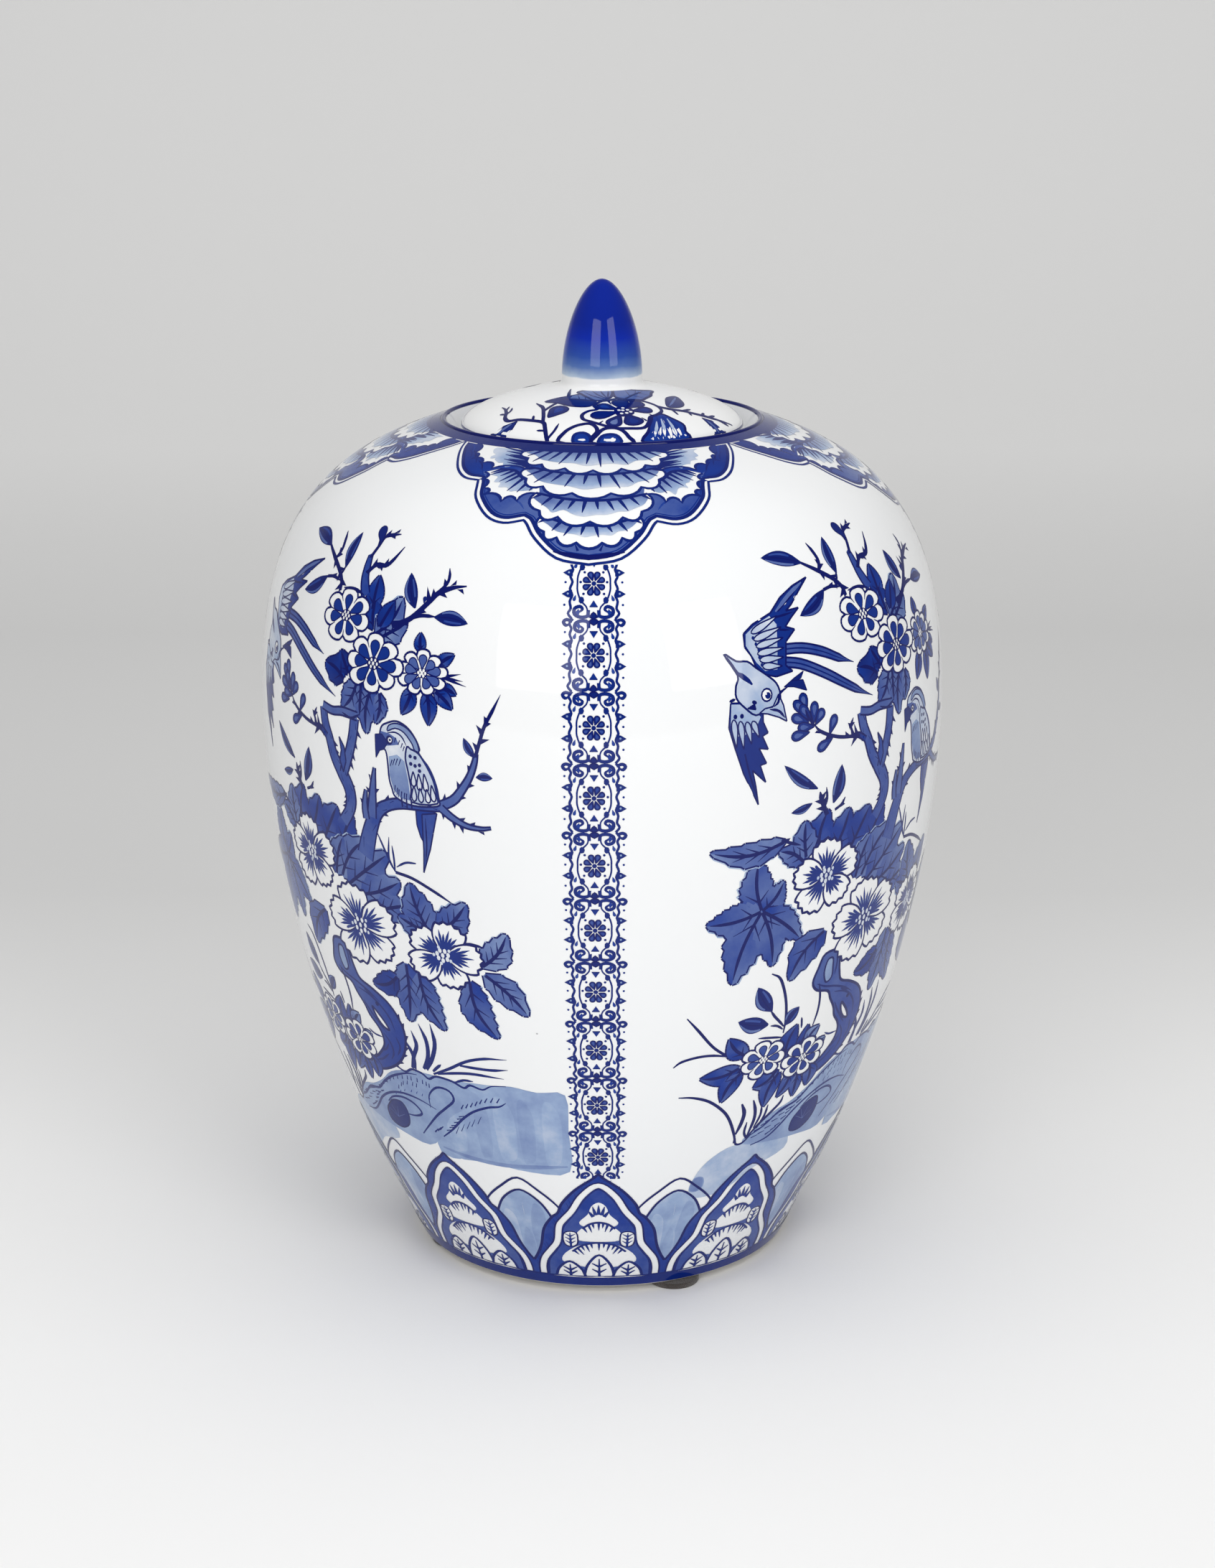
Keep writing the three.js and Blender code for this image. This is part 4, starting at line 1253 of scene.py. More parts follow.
def paint_swallow(brush):
    """A swallow diving to the left with its tail streamers out behind it."""
    for path in ([(29, 218.8), (33.5, 218.4), (37.5, 216.4), (41, 213.6), (44.2, 211.4)],
        [(29, 215.4), (33, 214), (37.5, 210.3), (41.5, 206.3), (45, 202.9), (48.2, 200.3)]):
        brush.line(path, (3.4, 3.3, 3.2, 2.6, 0.6), LINE, (1, 0.3))
        brush.line(path, (2.2, 2.1, 2, 1.4, 0.2), 0.55, (1, 0.1))
        brush.line(path, (0.5, 0.5, 0.4, 0.3, 0.2), DARK, (1, 0.1))
    upper = [(23.2, 220.6), (23.2, 224.4), (25, 226.8), (28.6, 229.4), (31, 233.4), (34, 236.2), (37.4, 238),
        (35.6, 235.4), (32.9, 231), (31.6, 229.4), (34.2, 229.8), (32.3, 227.2), (31, 225), (32.7, 223.9),
        (30.7, 220.8), (30.2, 214.2), (31.4, 212.3), (28.3, 211.4), (26, 212.6), (24.8, 215), (24.2, 218)]
    brush.facet(upper, 0.72, 0.7)
    brush.fill([(23.4, 221), (23.6, 224.2), (25.2, 226.2), (28.3, 228.6), (29.4, 226), (29, 220),
        (28.6, 213.4), (26.4, 213.4), (25, 216)], 0.2)
    feathers(brush, (((24.6, 224.4), (29.6, 228.2)), ((24.9, 222.4), (30, 225)), ((25.2, 220.4), (30.1, 222)),
        ((25.3, 218.4), (30, 219.2)), ((25.6, 216.6), (29.8, 216.6)), ((26, 214.8), (29.4, 214.2))), 2.0,
        0.16)
    brush.dots(((24.8, 223), (25.6, 219.5), (25.6, 217.4), (25.9, 215.2), (25.2, 221.2)), 0.5, DARK, 1.2, 6)
    brush.lines((((30, 229.6), (36.4, 237.2)), ((29.6, 228), (33, 228.8)), ((29.8, 224.4), (31.8, 223.9))),
        0.7, LINE, (0.9, 0.2), 2)
    brush.line([(29.6, 229.6), (32.8, 233.8), (36, 236.8)], 1.1, SOFT, (0.4, 0.3))
    for tuft in ([(30, 208.6), (31.6, 210.3), (33.4, 211.8), (32.8, 209.9), (31.2, 209.2)], [(29.6, 208.2),
        (31.4, 207.8), (33.8, 206.2), (33.2, 209.4), (31, 209.6)]):
        brush.facet(tuft, DARK, 0.4)
    lower = [(20.2, 205.4), (19.8, 198.4), (20.8, 192.2), (22.2, 184.7), (24.8, 175), (24.3, 180.6),
        (23.7, 185.4), (26, 181.4), (25, 186.6), (26.1, 187), (24.8, 191.6), (26.4, 191), (25.4, 195),
        (26.4, 195.8), (25.6, 199), (25.6, 201.6), (23, 205)]
    brush.facet(lower, 0.76, 0.6)
    brush.fill([(20.3, 205), (20.1, 199), (20.8, 195.6), (24, 196.4), (25.2, 200.6), (23, 204.6)], 0.2)
    feathers(brush, (((20.6, 200.6), (21, 192.8)), ((21.7, 200), (22.2, 192.2)), ((22.8, 199.6),
        (23.5, 193.4)), ((23.8, 199.6), (24.8, 195))), 1.8, 0.18)
    brush.dots(((20.9, 201.4), (22, 201.4)), 0.62, LINE, 1.2, 8)
    brush.line([(22.4, 190.5), (23.2, 184.5), (24.4, 178)], 0.6, LINE, (0.8, 0.2))
    head = [(19.5, 219.3), (21.5, 217), (23.4, 216.6), (24.8, 214.6), (26.6, 212.2), (28.2, 209.6),
        (28.8, 206.4), (28.4, 203.8), (26.4, 202.6), (24.4, 201.2), (22.6, 203.6), (21.2, 206.6), (21.2, 210),
        (21.6, 213)]
    brush.outlined(head, 0.14, 0.6, ((22, 215), (28, 204), 0.22), 3)
    brush.line([(20, 218.4), (21.6, 213.6), (23.9, 210.2)], 0.9, LINE, (0.3, 0.6))
    brush.line([(21.6, 213.8), (22.8, 212.2), (24, 210)], 1.2, DARK, (0.3, 0.4))
    brush.facet([(28.5, 206.4), (29.3, 203), (29.8, 198.3), (28.4, 199.8), (26.4, 201.2), (25, 201.6),
        (26, 202.8), (27.4, 203)], 0.2, 0.6)
    brush.line([(26.8, 202.4), (28.4, 201.6), (29.5, 199.4)], 0.8)
    brush.line([(27.6, 203), (28.4, 204.2), (28.8, 206.6), (30.4, 208.2)], 0.8)
    brush.dot((26.4, 206.6), 1.9, LINE, 1.1, 12)
    brush.dot((26.4, 206.6), 1.4, BARE, 1.1, 12)
    brush.dot((26.6, 206.4), 0.9, DARK, 1.1, 10)
    brush.dot((26.3, 206.9), 0.3, BARE, 1.0, 6)
    brush.facet([(23, 203.4), (24.2, 204.4), (24.4, 202.8)], LINE, 0.5)
    brush.line([(23.8, 205.2), (24.6, 204.6)], 1.1)
    brush.line([(20, 205.8), (21, 206.4)], 0.9)


def paint_perched_bird(brush):
    """A crested bird looking left from its perch."""
    brush.facet([(65.1, 172), (65.2, 167.5), (65.8, 164), (66.6, 161.6), (67, 164.8), (68.6, 172.4)], 0.62,
        0.6)
    brush.facet([(66.2, 171), (66.2, 160), (65.9, 153), (67.4, 160.6), (68.9, 172)], 0.56, 0.6)
    brush.line([(66.8, 170), (66.8, 162), (66.4, 156.5)], 0.5)
    body = [(58.6, 194.6), (59.8, 196.3), (61.7, 197.3), (63.7, 196), (65.2, 193.2), (66, 190.3), (65.9, 189),
        (67.8, 184.8), (68.9, 180.4), (69.3, 176.5), (69.1, 174.2), (64.5, 173.2), (61.4, 174.8),
        (60.7, 177.2), (60.2, 180), (60, 184), (59.6, 188), (58.4, 190)]
    brush.outlined(body, 0.12, 0.6)
    brush.fill([(60.2, 186.6), (60.3, 181), (61, 177), (62.4, 174.8), (64.2, 174.6), (63.9, 180), (63.2, 186),
        (61.8, 187.6)], 0.3, ((62, 187), (61.6, 175), 0.42))
    crest = [(59.9, 194), (61.4, 195.2), (63.1, 194.4), (64.6, 191.6), (65.1, 189.8), (65.9, 189.6),
        (65.4, 192.6), (63.8, 195.6), (61.8, 196.7), (60.2, 195.8)]
    brush.outlined(crest, 0.34, 0.45, steps=3)
    brush.line([(59.8, 193.4), (61.4, 194), (62.7, 193), (63.6, 190.6)], 0.5)
    brush.fill([(58.6, 193.6), (60.2, 193.4), (61.6, 192.4), (62.2, 190.6), (60.8, 190), (59.2, 189.4),
        (58, 190.6)], 0.5)
    brush.facet([(57.4, 192.3), (58.8, 192.8), (60, 190.6), (59.2, 188.4), (58.4, 187.9), (57.6, 185.5),
        (57.5, 188.6)], DARK, 0.4)
    brush.dot((60.3, 191.4), 1.3, LINE, 1.1, 10)
    brush.dot((60.4, 191.5), 0.72, BARE, 1.1, 8)
    brush.dot((60.4, 191.5), 0.4, LINE, 1.0, 6)
    dashes(brush, [(61.2, 192.8), (62.6, 191.6), (63.4, 190)], 4, 1.6, 250, 0.8, LINE)
    dashes(brush, [(60.6, 185.6), (61.6, 186.4), (62.8, 186.4)], 4, 2.2, 250, 0.8, LINE)
    dashes(brush, [(61.2, 178.6), (62.4, 177), (63.9, 176.4)], 6, 2.4, 262, 0.8, LINE)
    wing = [(63.7, 190.4), (64.4, 189.9), (65.9, 188.8), (67.6, 184.6), (68.7, 180.2), (69.1, 175),
        (64.5, 174.2), (64.4, 178), (63.9, 183), (63.4, 187)]
    brush.outlined(wing, 0.16, 0.6, steps=3)
    brush.dots(((64.3, 187.8), (65.2, 187.6), (64.4, 185.6), (65.2, 185.2), (66, 185.6), (66, 183.9)), 0.62,
        LINE, 1.0, 7)
    for base, tip in (((64.8, 183.2), (64.9, 179)), ((65.8, 182.8), (66, 178)), ((66.8, 183), (67.2, 178)),
        ((64.9, 179), (64.9, 174.6)), ((66, 178.6), (66.2, 174.6)), ((67.2, 178.6), (67.5, 174.8)),
        ((68.1, 180), (68.5, 175.4))):
        drop(brush, base, tip, 1.7, 0.1, 0.5)
    brush.line([(65.8, 189), (67.7, 184.8), (68.8, 180.2), (69.2, 175)], 1.0, DARK)
    brush.lines([[(at, 175), (at + 0.1, 172.2)] for at in (62.5, 63.4, 64.3)], 0.8, LINE, (0.8, 0.6), 1)


def paint_scene(side):
    """The whole scene, from the ground up; each part covers the ones before it."""
    brush = Brush(side)
    for part in (paint_ground, paint_grass, paint_trunk, paint_low_spray, paint_wide_blossoms, paint_tree,
        paint_perched_bird, paint_twigs, paint_swallow):
        part(brush)
    return brush


# ---------- borders: medallions under the rim, columns, lappets at the foot ----------


BAND_STEP = 1.5


def band(brush, low, high, tone, start=0, end=360):
    """A plain band from one angle to another."""
    turns = np.arange(start, end + 1e-6, BAND_STEP)
    brush.fill([(a, low) for a in turns] + [(a, high) for a in turns[::-1]], tone)


def mirrored(points):
    """A right half, from the middle outwards, and its reflection, as one line from left to right."""
    p = np.array(points, float)
    left = (p * (-1, 1))[::-1]
    return np.vstack([left[:-1] if abs(p[0, 0]) < 1e-6 else left, p])


def inset(side, path, amount):
    """A line moved to its left by an amount in millimetres."""
    wide = side.degree(path[:, 1])
    flat = path * np.stack([wide, np.ones(len(path))], axis=1)
    along = np.gradient(flat, axis=0)
    along /= np.linalg.norm(along, axis=1)[:, None]
    return path + amount * np.stack([-along[:, 1] / wide, along[:, 0]], axis=1)


def scalloped(brush, cusps, bulge):
    """A line of bulging arcs between cusps, to the right of the way it runs."""
    parts = []
    for start, end in zip(cusps[:-1], cusps[1:]):
        size, lay = brush.axis(start, end)
        t = np.linspace(0, 1, 7)[:-1]
        parts.append(lay(np.stack([t * size, -bulge * np.sin(math.pi * t) ** 0.7], axis=1)))
    return np.vstack(parts + [np.array([cusps[-1]], float)])


def fan(brush, top, cusps, bulge, strokes, lean=0, wash=0.62, size=3.6):
    """A white scalloped petal, washed and combed with dark strokes under its top edge.

    Both edges run from left to right.
    """
    low = scalloped(brush, cusps, bulge)
    high = smooth(top, 4)
    brush.fill(np.vstack([low, high[::-1]]), BARE)
    share = np.linspace(0.06, 0.94, 14)
    upper = np.stack([np.interp(share, np.linspace(0, 1, len(high)), high[:, i]) for i in (0, 1)], axis=1)
    lower = np.stack([np.interp(share, np.linspace(0, 1, len(low)), low[:, i]) for i in (0, 1)], axis=1)
    deep = upper + (lower - upper) * (wash + 0.05 * np.cos(np.arange(14) * 2.1))[:, None]
    middle = tuple(upper[7]), tuple(deep[7])
    brush.fill(np.vstack([smooth(deep, 3), upper[::-1]]), 0.42, (*middle, 0.14))
    brush.line(low, 1.0, 0.8, (0.8, 0.8), 1)
    brush.line(top, 1.1, 0.86, (0.8, 0.8))
    for k in range(strokes):
        at = (k + 0.5) / strokes
        root = [np.interp(at, np.linspace(0, 1, len(high)), high[:, i]) for i in (0, 1)]
        foot = [np.interp(at, np.linspace(0, 1, len(low)), low[:, i]) for i in (0, 1)]
        reach, lay = brush.axis(root, foot)
        far = min(1.5 * size * (0.8 + 0.4 * (k * 7 % 5) / 4), 0.82 * reach)
        turn = math.radians(lean)
        end = (far * math.cos(turn), far * math.sin(turn))
        brush.line(lay([(0, 0), end]), (1.2, 0.95, 0.5), DARK, (1, 0.5), 2)


RIM_LINE = 292.6  # where the medallions go under the rim band


def paint_medallion(side):
    """A scalloped medallion of overlapping white petals on a washed blue ground."""
    brush = Brush(side)
    half = [(0, 246.2), (5.8, 248), (10.3, 254), (12.4, 258.6), (13.3, 260.1), (17.3, 258.7), (21.3, 260.6),
        (25.8, 267), (27.5, 272), (28.3, 274.6), (32.3, 275), (36.3, 278), (40.3, 283), (44.3, 288.5),
        (46.6, RIM_LINE)]
    turns = ((0, 5), (4, 10), (9, 15))
    right = np.vstack([smooth(half[a:b], 4)[:-1] for a, b in turns] + [np.array(half[-1:])])
    border = mirrored(right)
    ground = inset(side, border, 1.9)
    ground = ground[ground[:, 1] < RIM_LINE]
    count = len(ground) // 2
    for way, part in ((1, ground[count:]), (-1, ground[:count + 1])):
        brush.fill(np.vstack([part, [(0, RIM_LINE)]]), 0.5, ((12 * way, 270), (40 * way, 288), 0.74))
    for way in (1, -1):
        for k in range(15):
            start = (way * (14 + 1.75 * k), 264.2 + 1.62 * k + 0.9 * math.sin(2.3 * k))
            _, lay = brush.axis(start, (start[0] + way * 3, start[1] + 3.6))
            tone = 0.68 + 0.14 * math.sin(1.7 * k) + (0.12 if k > 8 else -0.1)
            brush.line(lay([(0, 0), (3, 0.5 * way), (6, 0.2)]), 0.6, tone, (0.2, 0.1), 3)
    brush.line(ground, 1.15, DARK, (1, 1), 1)
    brush.line(border, 0.85, 0.8, (1, 1), 1)
    brush.line(inset(side, border[6:-6], 2.9), 0.4, 0.72, (0.5, 0.5), 1)
    for way in (1, -1):
        def flip(points):
            """The points on this side, from left to right."""
            p = [(way * a, s) for a, s in points]
            return p if way == -1 else p[::-1]
        fan(brush, flip([(-21.5, 292.4), (-20.5, 289), (-18.6, 285), (-17.4, 282.4)]),
            flip([(-41, 292.4), (-37.6, 287.6), (-36.4, 284), (-31.6, 282.8), (-27.4, 280.6),
                (-17.8, 281.6)]), 1.9,
            9, -18 * way, 0.66, 4.8)
        fan(brush, flip([(-25, 280.8), (-20.5, 280.6), (-17.4, 277.4), (-12.4, 274.4)]),
            flip([(-28.4, 278.6), (-28, 275), (-25.6, 271.6), (-24.8, 268.4), (-19.6, 266.6), (-16.2, 267.2),
                (-11.6, 270.2)]), 2.0, 8, -10 * way, 0.64, 3.8)
    for top, cusps, bulge, strokes, wash, size in (
        ([(0, 259), (4.5, 259.6), (9.8, 262)],
         [(2.4, 253), (6.2, 254.6), (8.8, 256.4), (9.8, 262)], 1.9, 8, 0.5, 2.6),
        ([(0, 268.4), (6, 269), (12.6, 271)],
         [(0, 260.2), (6.6, 261.8), (10.6, 263.8), (12.6, 271)], 2.3, 10, 0.62, 3),
        ([(0, 280.2), (9, 281), (17, 283)],
         [(4.4, 271.4), (11.6, 274), (16.4, 277.2), (17, 283)], 2.3, 12, 0.62, 4),
        ([(0, 292.5), (10, 292.5), (21, 292.5)],
         [(0, 282.4), (7.6, 283.2), (14.4, 284.8), (19.4, 287.8), (21, 292.5)], 2.3, 14, 0.62, 4.6),
    ):
        fan(brush, mirrored(top), mirrored(cusps), bulge, strokes, 0, wash, size)
    brush.lines([[(at, 250.4), (at * 1.3, 252.6)] for at in (-2, 2)], 0.8, DARK, (1, 0.3), 1)
    brush.line([(-6.5, 250), (0, 248.4), (6.5, 250)], 1.6, LINE, (0.2, 0.2))
    return brush


COLUMN_PITCH = 20.25
COLUMN_CELLS = 10
COLUMN_TOP = 246.2
COLUMN_FIRST = 240.6
COLUMN_FOOT = 49.4
COLUMN_LEAN = 0.5
COLUMN_INK = 0.8


def paint_column(side):
    """A printed column of cells, each a flower in an oval between scrolls."""
    brush = Brush(side)
    for k in range(COLUMN_CELLS):
        middle = COLUMN_FIRST - COLUMN_PITCH * k
        wide = side.degree(middle) / side.degree(200)
        lean = COLUMN_LEAN * (1 - k / COLUMN_CELLS)

        def at(x, y):
            """Degrees shrink with the girth, as the printed strip keeps its width."""
            return (x / wide ** 0.6 - lean, middle + y)

        for way in (1, -1):
            wave = [(3.3, -10.1), (3.9, -8.6), (3.5, -7.2), (3.7, -5.2), (3.35, -3.4), (3.75, -1.6),
                (3.4, 0.4), (3.8, 2.2), (3.4, 4), (3.75, 5.8), (3.5, 7.4), (3.85, 8.8), (3.3, 10.15)]
            brush.line([at(way * x, y) for x, y in wave], 0.72, COLUMN_INK, (1, 1), 3)
            brush.line([at(way * x, y) for x, y in ((3.4, 9.4), (4.3, 9.9), (4.8, 9.2), (4.4, 8.3),
                (3.9, 8.6))], 0.95, COLUMN_INK, (0.9, 0.5), 3)
            for y in (3.2, -3.0):
                knob = ((3.4, 1.15), (4.15, 0.85), (5.0, -0.1), (4.15, -1.0), (3.4, -1.2))
                brush.fill([at(way * x, y + up) for x, up in knob], COLUMN_INK)
                brush.dot(at(way * 4.05, y), 0.32, 0.3, 1, 6)
            brush.dots([at(way * 4.5, y) for y in (0.3, -6.2, 6.4)], 0.36, 0.7, 1, 6)
            oval = [(0.9, -8), (1.15, -6.6), (2.0, -4.9), (2.55, -2.2), (2.6, 0), (2.55, 2.2), (2.0, 4.9),
                (1.15, 6.6), (0.9, 8)]
            brush.line([at(way * x, y) for x, y in oval], 0.5, COLUMN_INK, (0.8, 0.8), 3)
            for y in (4.8, -4.8):
                brush.dot(at(way * 1.9, y), 0.8, COLUMN_INK, 1.3, 7)
                drop(brush, at(way * 2.8, y + 1.4), at(way * 3.1, y - 0.3), 0.9, 0.6, 0)
            for y, flow in ((8.2, 1), (-8.2, -1)):
                scroll = ((0.8, -0.6), (0.95, 1.1), (2, 1.4), (2.9, 0.6), (2.9, -1.0), (2.1, -1.6),
                    (1.7, -0.8), (2.2, 0))
                brush.line([at(way * x, y + up * flow) for x, up in scroll], 1.0, COLUMN_INK, (1, 0.5), 3)
                heart = ((2.3, 0.9), (2.8, 0), (2.3, -1.1), (2.1, 0))
                brush.fill([at(way * x, y + up) for x, up in heart], FILL)
            brush.dots([at(way * x, y) for x, y in ((1.5, 3.3), (2.1, 0.4), (1.6, -3))], 0.4, 0.8, 1, 6)
            hooks = [[at(way * x, y * up) for x, y in ((0.2, 9.7), (0.9, 9.2), (1.4, 9.8))] for up in (1, -1)]
            brush.lines(hooks, 0.8, COLUMN_INK, (1, 0.6), 2)
        for turn in range(8):
            angle = 22.5 + 45 * turn
            lay = brush.local(at(0, 0))
            inner, outer = lay([polar(angle, 0.95), polar(angle, 3.2, 3.7)])
            drop(brush, inner, outer, 1.7, DARK, 0.2, 0.56)
        brush.dot(at(0, 0), 0.7, COLUMN_INK)
        for y, size in ((5.7, 1), (-5.7, -1)):
            left, right, foot = at(-0.62, y + 0.9 * size), at(0.62, y + 0.9 * size), at(0, y - 0.9 * size)
            brush.fill([left, right, foot][::size], 0.72)
            brush.line([left, right], 0.4, COLUMN_INK, (1, 1), 1)
        for reach, level, near, far in ((0.7, 9.6, 8.4, 10.1), (0.5, -9.4, -8.2, -10)):
            brush.outlined([at(reach, level), at(0, near), at(-reach, level), at(0, far)], DARK, 0.4, steps=2)
    for low, high in ((COLUMN_TOP, 256), (40, COLUMN_FOOT)):
        brush.fill([(-9, low), (9, low), (9, high), (-9, high)], BARE)
    return brush


def comb(brush, arch, count, size, width=0.9):
    """Blue teeth hanging under an arched blue line in a white field."""
    path = smooth(arch, 6)
    middle = np.array([0.0, path[:, 1].min() - 9])
    for k in range(count):
        at = path[int((k + 0.5) / count * (len(path) - 1))]
        _, lay = brush.axis(at, middle)
        far = size * (1.15 if k % 2 else 0.75)
        brush.line(lay([(0, 0), (far, 0)]), (width, width * 0.7, 0.3), 0.74, (1, 0.4), 2)
    brush.line(arch, 0.85, 0.8, (0.8, 0.8))


LAPPET_HALF = 18  # half of the angle from one big lappet to the next
LAPPET_FOOT = 4.5


def paint_lappets(side):
    """One big lappet with half of a small one on either side, and the band they stand on."""
    brush = Brush(side)
    for centre in (-LAPPET_HALF, LAPPET_HALF):
        def at(points):
            """A half outline, made whole about this middle."""
            return [(centre + a, s) for a, s in mirrored(points)]
        outer = at([(0, 47.6), (4.5, 43), (8.4, 37.2), (10.6, 31)])
        inner = [(0, 42.6), (4, 38.8), (6.4, 33), (8, 26), (8.6, 18), (9, 8)]
        brush.fill(smooth(at(inner), 3), WASH + 0.02)
        for low, high, left, right, tone in ((12, 33, -6, -2.4, 0.2), (14, 37, 1.5, 5, 0.31), (10, 26, -1.5,
            1, 0.29)):
            streak = [(left, low), (left - 0.4, (low + high) / 2), (left + 1, high), (right, high - 2),
                (right + 0.5, (low + high) / 2), (right, low + 1)]
            brush.outlined([(centre + a, s) for a, s in streak], tone, 0.4, edge=WASH + 0.02)
        brush.line(outer, 0.8, LINE, (0.5, 0.5))
        brush.line(at(inner), 0.8, LINE, (1, 1))
    half = [(0, 51.2), (1.2, 49.5), (5.2, 44.5), (8.4, 38.5), (9.6, 34.2), (11.2, 32), (13.6, 26.5), (15, 19),
        (16.6, 14), (18, 11)]
    border = smooth(mirrored(half), 5)
    hull = np.vstack([[(-LAPPET_HALF, LAPPET_FOOT)], border, [(LAPPET_HALF, LAPPET_FOOT)]])
    brush.fill(hull, 0.62)
    brush.line(border, 0.9, LINE, (1, 1), 1)
    white = [(0, 46.6), (3.7, 42), (6.2, 35.4), (8.4, 31.2), (9.7, 28), (10.6, 21), (12.4, 17), (14.7, 12.6),
        (15.7, 8.6), (15.9, 4.4)]
    lane = mirrored(white)
    path = smooth(lane, 4)
    for k in range(26):
        spot = path[2 + int(k * 1.55) % (len(path) - 4)]
        lay = brush.local(spot, 35 if spot[0] < 0 else -35)
        brush.line(lay([(0, 1.6), (0.6, 3.6)]), 0.45, 0.78, (0.6, 0.3), 1)
    brush.line(lane, 3.0, LINE, (1, 1), 5)
    brush.line(lane, 1.9, BARE, (1, 1), 5)
    core = [(0, 45), (3.1, 40.8), (5.4, 34.8), (7.6, 30.2), (8.8, 27), (9.6, 20.6), (11.3, 16.4),
        (13.6, 11.6), (14.3, 4.5)]
    core_path = np.vstack([[(-14.3, 4.5)], smooth(mirrored(core), 5)[1:-1], [(14.3, 4.5)]])
    brush.fill(core_path, 0.6, ((0, 40), (0, 8), 0.54))
    brush.line(smooth(mirrored(core), 5), 0.6, 0.82, (1, 1), 1)
    for half, foot in (
        ([(0, 39.4), (1.7, 37.6), (2.6, 34), (4.7, 30.4), (3.4, 28.4)], 29.8),
        ([(0, 30.6), (3.4, 28.4), (5.6, 25), (5.4, 22)], 21.4),
        ([(0, 21.2), (3, 20.6), (6.4, 18.6), (9.6, 14.4), (9, 11)], 9),
    ):
        brush.fill(smooth([*mirrored(half), (0, foot)], 3, closed=True), BARE)
    for k in range(5):
        angle = 90 + (k - 2) * 24
        lay = brush.local((0, 31))
        brush.line(lay([polar(angle, 2.2, 3), polar(angle, 4.4, 7.2)]), (1.2, 0.9, 0.4), 0.72, (1, 0.5), 2)
    comb(brush, mirrored([(0, 30.4), (2.2, 29.6), (4, 27.4)]), 7, 3.2)
    comb(brush, mirrored([(0, 21), (4, 19.8), (7, 16.6)]), 11, 3.2)
    leaflet = ((-1.6, 3), (0, 3.6), (1.5, 2.6), (1.9, 0), (1.5, -2.6), (0, -3.6), (-1.6, -2.4), (-1.9, 0.2))
    for way in (1, -1):
        stem, level = way * 7.2, 22.4
        brush.outlined([(way * (7.2 + x), level + y) for x, y in leaflet], BARE, 0.5, steps=3)
        brush.line([(stem, level - 3.6), (stem, level + 3)], 0.7, 0.74, (1, 0.3), 2)
        veins = [[(stem, level + y), (stem + lean * 1.3,
            level + y + 1.2)] for y in (-2, -0.4, 1.2) for lean in (1, -1)]
        brush.lines(veins, 0.6, 0.74, (1, 0.3), 1)
    for centre, wide, tall in ((0, 4.3, 10.4), (8, 4.2, 7), (-8, 4.2, 7)):
        arch = [(centre - wide, 4.8), (centre - 0.72 * wide, 4.8 + 0.55 * tall), (centre, 4.8 + tall),
            (centre + 0.72 * wide, 4.8 + 0.55 * tall), (centre + wide, 4.8)]
        brush.fill(smooth(arch, 4), BARE)
        brush.line(arch, 0.9, 0.82, (1, 1))
        brush.line([(centre, 5), (centre, 4.4 + 0.86 * tall)], 0.9, 0.8, (1, 0.4), 1)
        brush.lines([[(centre, 4.8 + height * tall - 1), (centre + lean * wide * 0.46,
            5 + height * tall + 0.4)]
                     for height in (0.3, 0.56) for lean in (1, -1)], 0.9, 0.8, (1, 0.4), 1)
    band(brush, 0.7, 5, 0.78, -LAPPET_HALF, LAPPET_HALF)
    band(brush, 4.4, 5.2, DARK, -LAPPET_HALF, LAPPET_HALF)
    for edge in (-LAPPET_HALF, LAPPET_HALF):
        beyond = edge + math.copysign(14, edge)
        brush.fill([(edge, 0), (beyond, 0), (beyond, 53), (edge, 53)], BARE)
    return brush


# ---------- the spray on the lid; heights run up the dome from its edge ----------


